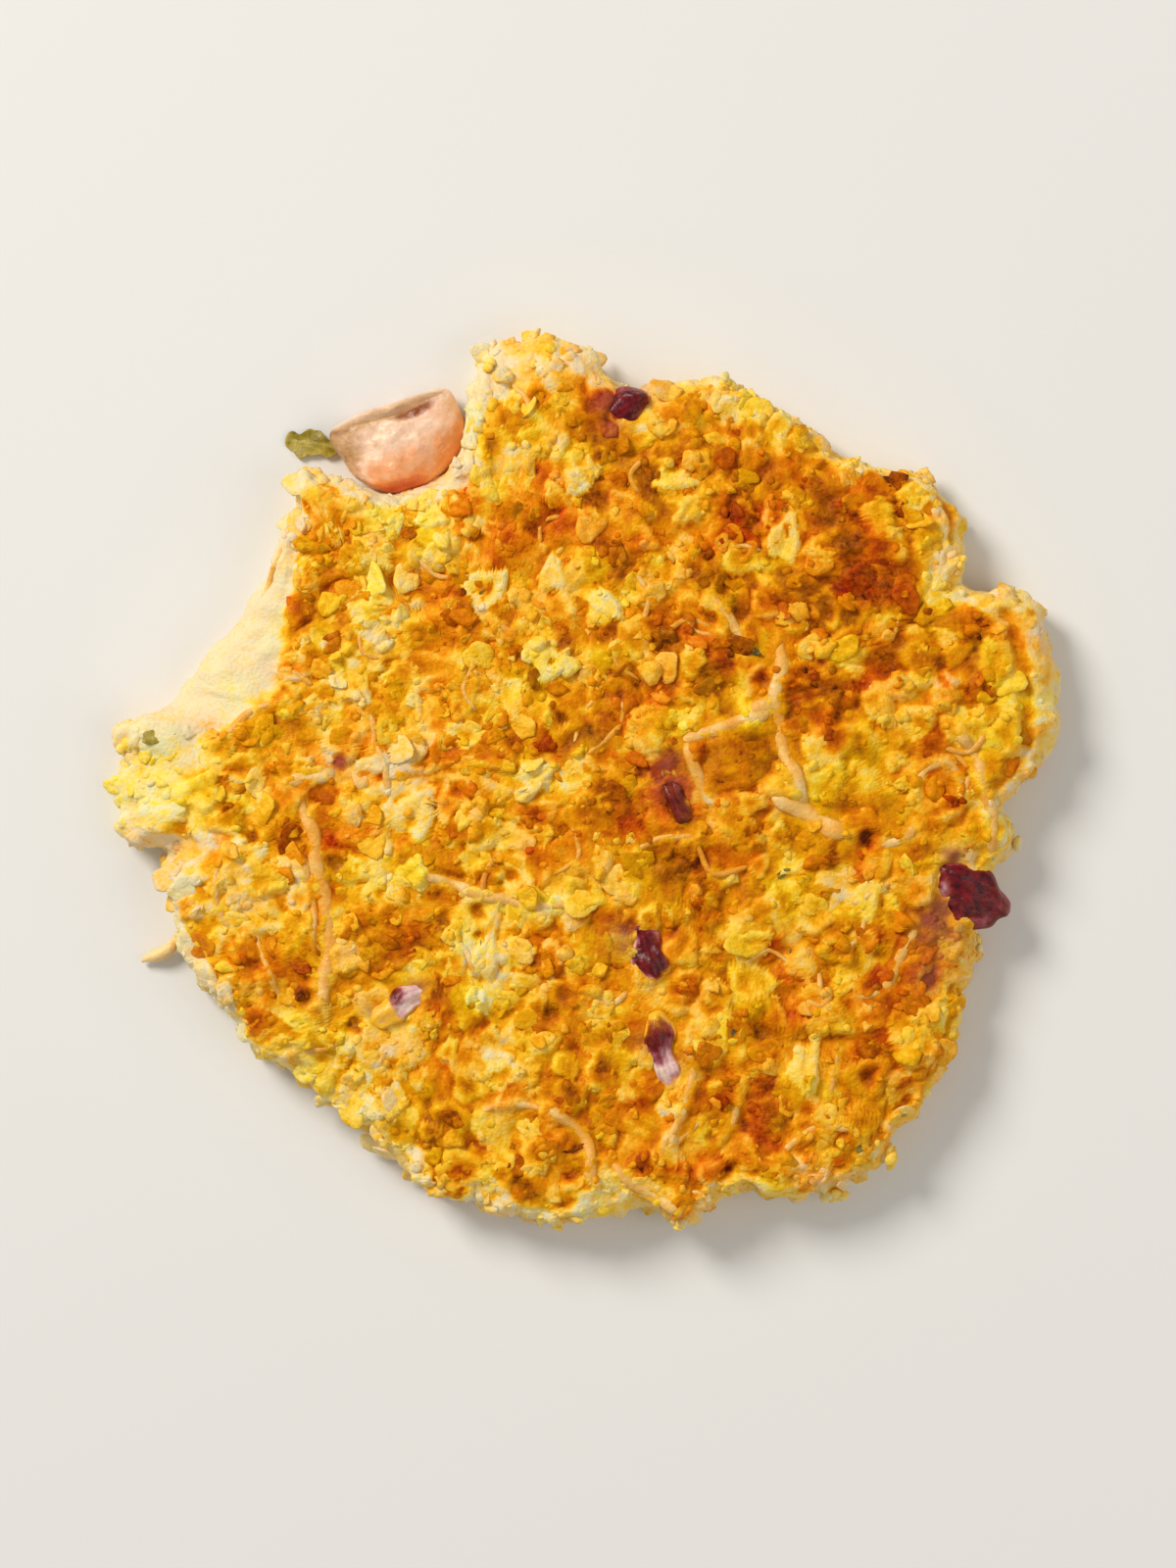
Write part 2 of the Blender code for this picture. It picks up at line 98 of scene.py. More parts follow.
# Grated shreds: width and thickness in mm, toast, then points (x, y) in mm.
SHREDS = (
    (2.1, 1.2, 0.32, ((-38.6, -1.5), (-36.8, -8), (-36, -13), (-34.8, -19), (-35, -25), (-36.4, -31))),
    (1.2, 0.9, 0.32, ((-39, -8.6), (-37.2, -15), (-36.9, -24))),
    (1.9, 1.1, 0.2, ((-40.6, -0.2), (-37.8, 1.2), (-33.8, 1.6))),
    (
        2.1, 1.2, 0.2,
        ((26.8, 20.4), (26.4, 15), (25.9, 11), (26.8, 6), (28, 2.4), (29.2, -0.6), (30.4, -2.8)),
    ),
    (2, 1.2, 0.2, ((13.2, 5.6), (16.6, 7.4), (21.4, 8.6), (25.8, 10.6))),
    (2.2, 1.2, 0.2, ((22.6, 9.6), (24.4, 10.6), (26.2, 10.4))),
    (2.8, 1.4, 0.2, ((25.6, -1.4), (28.4, -2.8), (31.4, -4.8), (36.2, -6.8))),
    (1.6, 1.1, 0.2, ((39.8, -8.4), (42.6, -7.4), (45.2, -5.6))),
    (1.8, 1.2, 0.2, ((14, 5.8), (14.8, 2.6), (16, -0.8), (18, -2.6))),
    (1.8, 1.1, 0.2, ((50.6, 8.4), (52.6, 5), (54, 1.4), (55.2, -4), (55.8, -10.2))),
    (1.6, 1.1, 0.2, ((44.8, -18.6), (43.6, -22.4), (41.8, -26), (40.2, -28.2))),
    (1.8, 1.2, 0.2, ((-6, -43.4), (-1.8, -46), (0.8, -50.2), (0.8, -54.8))),
    (1.8, 1.2, 0.2, ((3.4, -51.4), (6.6, -54), (10.2, -56.4), (13.6, -58))),
    (1.6, 1.1, 0.2, ((-22.4, -11.8), (-15, -14.6), (-7.6, -16.2), (-0.4, -16.4))),
    (1.2, 1, 0.32, ((40.6, -28), (38.4, -28.8), (36, -28.6))),
    (1.1, 1, 0.32, ((21.4, -40), (20.4, -44.6), (18.6, -48.8))),
    (1.3, 1, 0.32, ((13.6, -34), (14.6, -40), (12.6, -45.6), (10.4, -50.6))),
    (1.1, 0.9, 0.32, ((34.4, -35.4), (34.2, -38.6), (32.8, -42.6))),
    (1.3, 0.9, 0.32, ((45.2, -1), (46.4, 2.4), (49.4, 3), (51.6, -0.6))),
    (1.7, 1.1, 0.22, ((17.2, 26), (19.2, 22.8), (22, 19.8))),
    (1, 0.9, 0.32, ((-29.4, 10.4), (-28.4, 7.4), (-29.2, 4.6))),
    (1, 0.9, 0.32, ((7, -8.6), (11, -7.2), (15.4, -6.6))),
    (1.2, 1, 0.32, ((-50.4, 5.4), (-46, 9.4), (-41, 12))),
    (1.1, 1, 0.32, ((-48.6, -9), (-50.4, -14.6), (-47.6, -20.6))),
    (1, 0.9, 0.32, ((-44.6, -20), (-42.6, -26.4), (-38.6, -31.4))),
    (1.1, 0.9, 0.32, ((-14.6, -44.6), (-8.6, -43.2), (-3, -45.8))),
    (1.1, 0.9, 0.32, ((26.6, -50.6), (30.4, -47), (36.4, -46.6))),
    (1.1, 0.9, 0.32, ((-40.8, 33.6), (-42.6, 28.4), (-44.6, 24.6))),
)
# The hook that hangs off the left edge: points (x, y, z) in mm.
HOOK_POINTS = ((-49.0, -15.0, 3.4), (-54.2, -18.4, 2.6), (-57.4, -22.8, 1.5), (-61.0, -24.2, 1.0))
HOOK_WIDTH = 1.7 * MM
SHRED_SIDES = 8

# Red onion: node, (x, y), heading, (length, width, thickness), tilt, height over the batter. Lengths in mm.
ONION_PIECES = (
    ("red_onion_right", (52.6, -14.6), -38, (11.0, 7.4, 3.6), 8, 0.7),
    ("red_onion_top", (5.6, 51.6), 30, (6.4, 4.6, 3.0), -6, 0.3),
    ("red_onion_upper", (8.6, -22.5), 108, (8.6, 4.8, 2.6), 6, 0.45),
    ("red_onion_lower", (10.6, -36.2), 104, (12.4, 4.4, 2.6), -5, 0.45),
    ("red_onion_left", (-25.2, -29.8), 34, (9.4, 4.8, 2.6), 6, 0.45),
    ("red_onion_middle", (12.2, -1.8), 112, (8.0, 3.4, 2.4), 5, 0.35),
)
# How far each piece is bent over its length.
ONION_BEND = 24.0
# Where the dark skin shows on each: middle along and across, reach along and across, in half sizes, how
# far the batter has coated its margins, and all of it, then middle and reach of what it leaves bare.
ONION_SKINS = {
    "red_onion_right": (0.05, 0.05, 1.5, 1.3, 0.12, 0.0, 0.0, 1.0),
    "red_onion_top": (-0.25, 0.1, 1.5, 1.8, 0.2, 0.0, -0.05, 1.0),
    "red_onion_upper": (-0.1, -0.2, 1.1, 0.9, 0.9, 0.0, 0.0, 1.0),
    "red_onion_lower": (0.42, 0.15, 0.5, 0.9, 1.1, 0.05, -0.05, 0.86),
    "red_onion_left": (-0.1, 0.75, 0.34, 0.6, 0.9, 0.08, 0.26, 0.62),
    "red_onion_middle": (-0.2, 0.0, 1.6, 1.8, 0.6, 0.16, -0.1, 0.95),
}
# Where onion juice has stained the batter: (x, y, radius in mm, strength).
JUICE_STAINS = (
    (5.4, -20.8, 2, 0.8), (47.4, -19.2, 2.4, 1), (47, -26.2, 2, 0.75), (48.2, -22.6, 1.6, 0.5),
    (-33.3, 3, 1.2, 0.8), (49.8, -20.6, 2, 0.6), (-22.6, -27.6, 1.6, 0.6), (-29, -30.6, 1.4, 0.5),
    (8.4, -35, 1.4, 0.6), (12.6, -38, 1.4, 0.4), (8, 52.8, 1.6, 0.6), (3.6, 49, 1.4, 0.5),
    (11, 2.8, 2, 0.6), (12, -0.4, 2.6, 0.6), (50, -9.6, 1.7, 1), (48.6, -16.8, 1.6, 1),
    (3, 52.2, 1.5, 0.6),
)

# The tomato: its cut faces this way, and its foot is cut flat at this share of its half height.
TOMATO_PLACE = Vector((-25.0, 47.7, 0.0)) * MM
TOMATO_HEADING = 25.0
TOMATO_SIZE = Vector((17.6, 14.6, 9.2)) * MM
TOMATO_CUT_FACING = (0.0, 1.0, 0.3)
TOMATO_FOOT = 0.72
# The wedge that shows lies a little straighter in its notch, is cut higher and has a bruise (x, y in mm).
WEDGE_HEADING = 20.0
WEDGE_CUT = 0.64
BRUISE_PLACE = (2.9, 2.9)
# Loose bits keep this far in mm from the tomato's middle.
TOMATO_REACH = 9
NOTCH_GAP = 0.3 * MM
# How fast the batter widens again beside the tomato.
NOTCH_OPENING = 350 * MM
LEAF_PLACE = Vector((-37.6, 47.0, 0.0)) * MM
LEAF_HEADING = -8.0
LEAF_SIZE = Vector((7.4, 3.4, 0.7)) * MM
LEAF_WAVE = 0.8 * MM

# The toast of evenly fried batter, the least that the face has, and the most outside its marked pits.
USUAL_TOAST = 0.48
LEAST_TOAST = 0.26
DARKEST_CRUST = 0.86
# What is stuck to the batter isn't paler than this, unless the batter under it is.
PALEST_BIT = 0.28
# How browned the face is in places, each placed one by one: (x, y, radius in mm, more or less toast,
# towards olive or orange).
# Browner patches towards the upper right and wide paler ones towards the left are partly real browning and
# partly painted shade and light.
TONES = (
    (34, 30, 16, 0.12, 0), (38, 31, 7, 0.12, 0.3), (33, 38.5, 3.4, 0.3, 0.5), (26, 43, 4.5, 0.16, 0.4),
    (17, 47, 3.5, 0.1, 0.2), (2.5, 50, 3.5, 0.18, 0.4), (3.4, 52.4, 1.8, 0.4, 0.5),
    (44.5, -25, 4, 0.12, 0.5), (48.8, -16.6, 1.8, 0.3, 0.3), (-38, -29, 1.4, 0.25, 0),
    (39, 27.5, 4.2, 0.23, 0.3), (36, 33, 2.6, 0.22, 0.3), (25, 24, 4, 0.16, 0.9),
    (33, 23, 2.6, 0.32, 0.4), (21.5, 35, 3.4, 0.26, 0), (23, 40, 4, 0.1, 0.1), (41, 17, 2.6, 0.28, 0.4),
    (45.5, 19, 2.4, 0.22, 0.5), (50, 8.5, 3.2, 0.2, 0.2), (30, 9, 5, 0.12, 0.2), (38, 10, 6, 0.1, 0.3),
    (3, 20, 3.4, 0.26, 0.5), (10, 16, 5, 0.22, 0.3), (4, -12, 3, 0.14, 0), (17, 12.6, 3, 0.28, 0),
    (8, 7, 6, 0.14, 0.1), (17.2, 3.8, 2.6, 0.3, 0.1), (23.4, 3.4, 2.6, 0.36, 0.1),
    (24.6, 14.6, 1.8, 0.3, 0), (32, 2, 5, -0.06, -0.5), (20, -3, 4, 0.16, 0.2), (7.4, 1.8, 2, 0.34, 0.3),
    (4.8, -0.8, 2.2, 0.2, 0.2), (12.6, -1.6, 3.4, 0.34, 0.3), (12.4, -10, 3.2, 0.24, 0.2),
    (14, -14, 2.2, -0.2, 0.4), (-55, -12, 4, -0.22, -0.5), (-53.6, -20, 3.6, -0.18, -0.2),
    (-50, -27, 3, -0.12, 0), (-5, 36, 2.8, 0.24, 0.5), (10, 37, 4.5, 0.12, -0.2), (5, 30, 5, 0.1, -0.3),
    (26, -32, 3.6, 0.24, 0.4), (25, -46, 5, 0.22, 0.4), (39, -39, 2.6, 0.24, 0.7),
    (20, -53, 3, 0.24, 0.4), (42.5, -31, 4, 0.2, 0.6), (33, -9, 4, 0.14, 0.7), (40, -22, 4, 0.16, 0.2),
    (30, -12, 6, 0.04, -0.5), (-3, -43, 5, 0.14, 0), (-21, -48, 5, 0.16, 0.1), (-13.4, -42, 2, 0.2, 0.1),
    (-5, -31, 2, 0.24, -0.2), (-41, -24, 5, 0.14, 0.3), (-27, -21, 4.4, 0.14, 0.7),
    (-33, -8, 3, 0.14, 0.5), (-18, 13, 8, 0.08, 0.2), (-14, -6, 4, 0.08, 0), (-48, 4, 2.2, 0.12, -0.6),
    (-46, 5.4, 2.2, -0.1, 0.2), (-52, -0.5, 2.6, 0.2, -0.9), (-44, 1, 5, 0.1, 0.1),
    (-34, 36, 4, 0.1, 0.9), (-35, 31, 4, 0.08, 0.6), (-39, 25, 2.2, 0.2, 0.4), (-39, 18, 2.2, 0.2, 0.4),
    (-22, 27, 2.4, 0.2, 0.5), (-23.5, 34.4, 1.8, 0.2, -0.7), (-29, 8, 1.8, 0.18, 0.5),
    (-6, 52.5, 1.8, 0.34, 0.1), (-13.5, 46, 1.6, 0.26, 0), (-6.5, 44, 1.6, 0.26, -0.2),
    (-9, 47.5, 1.6, 0.2, 0), (-4, 56, 4, -0.05, 0.3), (-15, 50, 4.5, -0.34, -0.1),
    (-17, 42.5, 3, -0.55, 0.8), (-12, 57, 4, -0.34, -0.1), (-8, 49, 8, -0.1, -0.2),
    (-23, 38.6, 3.4, -0.2, -0.3), (-20, 34, 4, -0.16, -0.6), (-30, 20, 9, -0.08, -0.3),
    (-34, 1.5, 3.6, -0.24, 0.6), (-27, 3, 2.6, -0.4, 0), (-31, -41, 4.5, -0.1, -0.5),
    (-26, -44, 3.4, -0.07, -0.2), (-37, -34, 3.4, -0.16, -0.7), (-27, -38, 5, -0.1, -1.2),
    (-43, -14, 6, -0.14, -0.4), (-23, -5, 5, -0.14, -0.5), (-22, -12, 4, -0.14, -0.3),
    (-5, -1, 3.4, -0.16, -0.4), (-14, -23, 2.8, -0.34, 0), (-13, -28, 3, -0.26, -0.7),
    (-11.5, -37, 3, -0.24, -0.4), (-3, -15, 4, -0.14, -0.6), (38, -15, 3.4, -0.26, -0.6),
    (27, -16.5, 4.4, -0.16, -0.9), (18, 21, 2.6, -0.18, -0.3), (31.6, 31, 2.6, -0.16, 0.7),
    (48.6, 12.4, 2.4, -0.18, 0.8), (55, 7, 4.5, -0.1, -0.7), (55, 19, 4.4, 0.12, 0),
    (56.6, 9, 2.6, 0.12, -0.3), (51.4, 4, 2.6, 0.14, -0.2), (47, 34, 5, -0.1, -0.3),
    (2, -53, 4, -0.14, -0.2), (11, -46, 3, -0.2, 0.2), (30, -38, 2.6, -0.16, 0),
    (19.6, -34, 2.8, 0.02, -1.2), (-58, 0, 6, 0.04, -1.7), (5, -45, 20, 0.08, 0), (0, -6, 16, 0.04, 0),
    (-49, 19, 5, -0.1, 0.6), (-49, 13.6, 3, 0, -1.3), (-52.4, 9, 3, 0, 1.2), (-28, 5, 26, -0.06, 0),
    (60.5, 20, 3, -0.26, 0.2), (62, 12, 3, -0.26, 0), (61.5, 5, 2.6, -0.2, 0), (50, 38, 2.6, -0.22, -0.4),
    (51.5, 33.5, 2.4, -0.26, -0.3), (50.5, 29.5, 2.2, -0.26, 0),
)
# How browned the pale band round the crust is: (angle, more toast, half width in degrees).
# More toast towards the right and lower right and less towards the upper left is partly the band's own
# browning and partly painted shade and light.
BAND_TONES = (
    (152, -0.1, 14), (12, 0.06, 14), (38, 0.1, 12), (62, 0.18, 16), (96, 0.12, 6), (105, -0.14, 5),
    (118, -0.06, 8), (182, 0.07, 10), (204, -0.1, 12), (230, 0.16, 10), (240, 0.03, 16), (270, 0.09, 14),
    (298, 0.12, 14), (318, 0.2, 12), (340, 0.22, 14),
)
# Where the pale band is smooth skin with nothing stuck to it: middle angle and half width in degrees.
BARE_BAND = (156, 16)
BARE_TOAST = -0.07
# Lobes whose band is soft too: middle angle, half width in degrees, how much flatter they are.
SOFT_LOBES = ((181, 9, 0.2), (14, 10, 0.5))
# The outermost rim, which is paler nearly all round.
RIM_TOAST = 0.13
# Flakes that show apart: (x, y, length, width in mm, heading, toast, how hollow and brown its middle is).
MARKED_FLAKES = (
    (-13.5, 26.8, 6.2, 5.6, 20, 0.1, 0.6), (-31.5, 16.8, 6.6, 5.6, 70, 0.3, 0.8),
    (-5.4, 16.6, 6, 5.6, 0, 0.12, 0), (-4.4, 28.4, 4.4, 3.8, 100, 0.13, 0),
    (-6.6, 1.2, 5, 4.2, 30, 0.12, 0), (-15, -15, 4.2, 2.8, 10, 0.12, 0),
    (-0.8, 41, 3.4, 2.8, 60, 0.06, 0), (-28.6, 3, 5, 2.6, 15, 0.06, 0),
    (-37, 1.2, 4.6, 3.2, 20, 0.16, 0.2), (-21, 36.6, 4.4, 3.8, 0, 0.14, 0.1),
    (-20, 31.6, 4.2, 3.6, 80, 0.14, 0), (-15.2, 35.4, 3.4, 2.6, 70, 0.18, 0),
    (2.8, 24.6, 5.6, 3, -30, 0.15, 0), (12, 41.6, 5.8, 3.4, 0, 0.14, 0),
    (27.2, 33.4, 6.4, 4.6, 75, 0.12, 0), (32, 31, 3.8, 3.2, 0, 0.24, 0),
    (49, 12, 3.8, 3.4, 20, 0.28, 0.1), (36, 18, 4.2, 3.4, 20, 0.34, 0.1),
    (40.2, 36.6, 6, 3.6, 100, 0.34, 0.1), (-23, -4, 6.6, 5.6, 60, 0.12, 0),
    (-23.5, -12, 5, 4.2, 30, 0.22, 0.2), (-13.5, -23.4, 6, 3.8, 75, 0.12, 0.1),
    (-12, -37.5, 4, 3.2, 0, 0.1, 0), (-16.6, -52.4, 8, 5.4, 10, 0.3, 0.9),
    (-0.4, -15, 5.6, 4.8, 0, 0.28, 0.8), (38.5, -15.4, 6.2, 3.4, 85, 0.18, 0),
    (30, -38.6, 7.4, 4, 85, 0.16, 0), (38.4, -39.6, 6.4, 5.6, 40, 0.42, 0.9),
    (23, -21.4, 4.8, 3.6, 10, 0.24, 0.1), (32.6, -32.4, 5.6, 3.6, 0, 0.3, 0.1),
    (-44, -13, 6.4, 5.2, 0, 0.28, 0.3), (-52.4, -1, 6.4, 5, 20, 0.22, 0.5),
    (20.2, 2.8, 8.8, 7.8, 0, 0.6, -0.5), (50.4, 29.2, 3.6, 3, 60, 0.1, 0),
    (46.6, 34.4, 4.4, 3.8, 60, 0.36, 0.2), (-6.4, 47, 5.4, 4.6, 20, 0.26, 0.3),
    (56, 17, 6.6, 5, 80, 0.36, 0.2), (57.4, 7, 6.4, 4.6, 80, 0.3, 0.2),
)
# How far below the plain skin the relief starts, how deep pits and creases are, how high shreds lift it.
RELIEF_SINK = 0.35 * MM
PIT_DEPTH = 0.7 * MM
CREASE_DEPTH = 0.4 * MM
STRAND_LIFT = 0.3 * MM
# Marked pits and shreds are on the face, above this height. Creases reach further down the side.
FACE_FLOOR = 6 * MM
CREASE_FLOOR = 4 * MM
SMALL_PITS = 150
# Where a pressed flake ends, in half sizes.
FLAKE_EDGE = 1.08
# Pits, darker than the batter round them, partly browning and partly painted shade: (x, y, radius in mm,
# toast).
PITS = (
    (38, -7, 1.7, 1), (-31.6, -32.4, 1.5, 0.91), (-45.2, -7, 1.5, 0.84), (-6, 52.3, 1.1, 0.8),
    (7.2, 1.9, 1.5, 0.97), (24.3, 14.4, 1.3, 0.9), (41.5, 16.6, 1.1, 0.86), (33, 38.4, 1.3, 0.86),
    (33, 23, 1.3, 0.86), (-2, -53.2, 1.5, 0.94), (38.4, -39.5, 1.2, 0.68), (47, -26.6, 1.8, 0.95),
    (-26.2, 28, 1.1, 0.82), (-33.4, 3.2, 1.2, 0.72), (17, 4.2, 1.3, 0.72), (24.8, 2.2, 1.3, 0.78),
    (-14.5, -17.4, 1.2, 0.82), (-10, -12.4, 1, 0.7), (19.6, -52.6, 1.3, 0.92), (-4.6, -31, 1, 0.8),
    (2.6, 20, 1.4, 0.82), (17.4, 22.6, 1.1, 0.84),
)
# Creases, sunk and painted darker as shade: width in mm, then points (x, y) in mm.
CREASES = (
    (2, ((58.6, 20.6), (59.8, 15.6), (60.2, 10.4), (60.4, 6))),
    (1, ((50.2, -27.6), (49.4, -33.4), (46.6, -39.4))), (0.8, ((-38, -8.6), (-37, -15), (-36.2, -24))),
    (0.9, ((47.6, 40.4), (50.2, 36.6), (50.4, 33.2))),
    (1, ((45.4, 22.8), (48.2, 18.6), (48.4, 14.8), (51, 12.4))),
)
# Lumps of crumb that stand out of the edge: (x, y, height, size in mm, toast).
EDGE_CRUMBS = (
    (59, -7.4, 5, 3.2, 0.1), (54.6, -22, 4.5, 2.6, 0.12), (54.4, -26.4, 5, 2.8, 0.12),
    (51.4, -33.6, 5.5, 2.6, 0.16), (46.8, -44, 5.5, 3.4, 0.12), (41, -50.4, 6, 3.2, 0.1),
    (34.4, -55.8, 5, 3.4, 0.08), (30.6, -54.6, 7, 2.4, 0.16), (-38.2, 41.2, 7, 4.2, 0.04),
    (51.2, 30, 8, 2.4, 0.14), (-27.6, -49.2, 7.5, 1.8, 0.12), (13, -57.6, 6.5, 3, 0.12),
    (-4.4, -59.6, 5, 2.6, 0.12), (-12.6, 57.6, 7.5, 2.6, 0.12), (19, 53.8, 7.5, 2.8, 0.12),
    (-60.4, 5.4, 6, 2.8, 0.12),
)
CRUMBS_IN_LUMP = 5
# How far in mm a bit may reach over the edge of an onion piece or the tomato.
BIT_OVERLAP = 1.7
# Chopped herb in the batter: (x, y, length in mm, heading).
HERB_FLECKS = (
    (20, -34, 3.4, 20), (-0.4, -14.8, 2.6, 70), (27.6, -22.6, 2.4, 110), (17.4, 22.6, 2.4, 40),
    (23, 18.2, 2.2, 150), (-58.4, 6.7, 4, 10), (-24, 35, 2, 60), (43.4, -44.6, 2.4, 10), (27, -12, 2, 30),
    (10, -32.4, 1.6, 90), (-13.6, 26.2, 1.8, 20), (38, -49.4, 2.4, 5), (-19, 20.6, 1.4, 130),
    (4, -28.6, 1.4, 15),
)
# Lamps: name, place and size in metres, power in watts.
LAMPS = (("key", (-0.9, 0.84, 1.0), 0.65, 21.8), ("fill", (0.6, -0.2, 0.6), 0.7, 1.5))
LAMP_COLOUR = "#FFFAF2"
ROOM_COLOUR = "#FFFFFF"
ROOM_STRENGTH = 0.36
# The picture is this wide at this height over the floor. The sensor's width is in mm.
PICTURE_WIDTH = 160 * MM
PICTURE_LEVEL = 10 * MM
SENSOR_WIDTH = 36


def hex_colour(text):
    """An sRGB hex colour as linear red, green, blue and alpha."""
    channels = [int(text[start : start + 2], 16) / 255 for start in (1, 3, 5)]
    linear = [c / 12.92 if c <= 0.04045 else ((c + 0.055) / 1.055) ** 2.4 for c in channels]
    return (*linear, 1.0)


def colour_property(name, text, description):
    return FloatVectorProperty(
        name=name, description=description, default=hex_colour(text), size=4, min=0, max=1, subtype="COLOR"
    )


def length_property(name, value, description):
    return FloatProperty(name=name, description=description, default=value * MM, min=0, unit="LENGTH")


def count_property(name, value, description):
    return IntProperty(name=name, description=description, default=value, min=0)


class PancakeSizes(bpy.types.PropertyGroup):
    """Sizes and numbers of what shows on the pancake."""

    flakes: count_property("Flakes", 660, "Oat flakes pressed into the batter")
    side_flakes: count_property("Side flakes", 170, "Oat flakes in the side")
    raised_flakes: count_property("Raised flakes", 150, "Flakes that stand free")
    bits: count_property("Bits", 1150, "Broken bits of flake, close together")
    crumbs: count_property("Crumbs", 1500, "Crumbs all over, more of them on the side")
    shreds: count_property("Shreds", 34, "Short grated shreds")
    flake_length: length_property("Flake length", 5.6, "Usual length of a quick oat flake")
    bit_length: length_property("Bit length", 2.3, "Usual length of a broken bit of flake")
    flake_height: length_property("Flake height", 0.8, "How far a flake stands out of the batter")
    crumb_size: length_property("Crumb size", 1.3, "Usual size of a crumb")
    camera_height: length_property("Camera height", 760, "Height of the camera over the floor")


class PancakeColours(bpy.types.PropertyGroup):
    """Colours of the pancake, as sRGB hex values turned to linear."""

    cream: colour_property("Cream", "#EAD8AA", "Batter that never touched the pan")
    straw: colour_property("Straw", "#FCCD5C", "Pale oat flakes")
    honey: colour_property("Honey", "#F8BA2C", "Lightly fried batter")
    gold: colour_property("Gold", "#EA9B06", "Evenly fried batter")
    amber: colour_property("Amber", "#D98200", "Well fried batter")
    caramel: colour_property("Caramel", "#BE6500", "Browned patches")
    chestnut: colour_property("Chestnut", "#9A4800", "Dark patches")
    charred: colour_property("Charred", "#541C02", "The darkest spots")
    onion_skin: colour_property("Onion skin", "#7C1018", "Outer skin of cooked red onion")
    onion_flesh: colour_property("Onion flesh", "#DDAEB0", "Cut flesh of cooked red onion")
    tomato_flesh: colour_property("Tomato flesh", "#FFD8BA", "Cut flesh of cooked tomato")
    tomato_skin: colour_property("Tomato skin", "#E0622A", "Skin of cooked tomato")
    herb: colour_property("Herb", "#94800F", "Cooked green herb")
    floor: colour_property("Floor", "#E8E7E4", "The plain floor")


def sizes():
    return bpy.context.scene.pancake_sizes


def colours():
    return bpy.context.scene.pancake_colours


# Outline and heights, as arrays. x and y are in the outline's own frame, so SHIFT is added at the end.


def bump(angle, centre, half_width):
    apart = (angle - centre + 180.0) % 360.0 - 180.0
    return np.exp(-((apart / half_width) ** 2))


def polar(radius, angle):
    """x and y at this angle and distance from the middle."""
    turn = math.radians(angle)
    return radius * math.cos(turn), radius * math.sin(turn)


def turned(x, y, heading):
    """How far a place lies along this heading, and across it."""
    way_x, way_y = polar(1, heading)
    return x * way_x + y * way_y, y * way_x - x * way_y


def tomato_limit(angle):
    """How far the batter may reach at each angle before it meets the tomato, and beside it."""
    turn = np.radians(angle) - math.radians(TOMATO_HEADING)
    along_x, along_y = np.cos(turn), np.sin(turn)
    middle_x, middle_y = turned(TOMATO_PLACE.x, TOMATO_PLACE.y, TOMATO_HEADING)
    half_x, half_y = TOMATO_SIZE.x / 2 + NOTCH_GAP, TOMATO_SIZE.y / 2 + NOTCH_GAP
    a = (along_x / half_x) ** 2 + (along_y / half_y) ** 2
    b = along_x * middle_x / half_x**2 + along_y * middle_y / half_y**2
    c = (middle_x / half_x) ** 2 + (middle_y / half_y) ** 2 - 1
    near = (b - np.sqrt(np.maximum(b * b - a * c, 0))) / a
    beside = NOTCH_OPENING * np.maximum(0, 1 - b * b / (a * c))
    return np.where(b > 0, near + beside, 1.0)


def plain_radius(angle):
    """The outline without the tomato's notch."""
    radius = np.full(np.shape(angle), BASE_RADIUS)
    for centre, reach, half_width in OUTLINE_LOBES:
        radius = radius + reach * MM * bump(angle, centre, half_width)
    for waves, height, phase in EDGE_RIPPLES:
        radius = radius + height * MM * np.sin(waves * np.radians(angle) + phase)
    return radius


def outer_radius(angle):
    return np.minimum(plain_radius(angle), tomato_limit(angle))


def band_width(angle):
    """How wide the pale band between the browned crust and the edge is."""
    band = np.full(np.shape(angle), RIM_BAND)
    for centre, extra, half_width in WIDE_BANDS:
        band = band + extra * MM * bump(angle, centre, half_width)
    return band


def crust_radius(angle):
    return outer_radius(angle) - band_width(angle)


def face_height(x, y):
    fall = FACE_FALL * (x * x + y * y) / BASE_RADIUS**2
    wave = FACE_WAVE * (np.sin(x / (11 * MM) + 0.7) + np.cos(y / (13 * MM) - x / (29 * MM)))
    return THICKNESS - fall + wave


def smooth(low, high, value):
    """0 below low, 1 above high, and smooth in between."""
    share = np.clip((value - low) / (high - low), 0.0, 1.0)
    return share * share * (3 - 2 * share)


def batter_height(x, y):
    """Height of the plain batter at one point, in the outline's own frame."""
    angle = math.degrees(math.atan2(y, x))
    radius = math.hypot(x, y)
    crust, outer = float(crust_radius(angle)), float(outer_radius(angle))
    if radius <= crust:
        return float(face_height(x, y))
    share = min(1.0, (radius - crust) / (outer - crust))
    edge = float(face_height(x, y)) - CRUST_STEP
    return WIDEST_HEIGHT + (edge - WIDEST_HEIGHT) * math.sqrt(max(0.0, 1.0 - share**2.2))


def rough(points, size, seed):
    """Smooth noise from about -1 to 1 at each point, with features of this size in metres."""
    offset = Vector((seed * 7.31, seed * 3.17, seed * 5.73))
    return np.array([noise.noise(Vector(point) / size + offset) for point in points])


# Materials.


def add_node(tree, kind, inputs=(), stops=(), **settings):
    """Adds a node with its settings. Inputs are values or sockets to link, and stops are a ramp's."""
    made = tree.nodes.new(kind)
    for name, value in settings.items():
        setattr(made, name, value)
    for name, value in dict(inputs).items():
        if isinstance(value, bpy.types.NodeSocket):
            tree.links.new(value, made.inputs[name])
        else:
            made.inputs[name].default_value = value
    if stops:
        elements = made.color_ramp.elements
        while len(elements) < len(stops):
            elements.new(1.0)
        for element, (position, colour) in zip(elements, stops):
            element.position = position
            element.color = colour
    return made


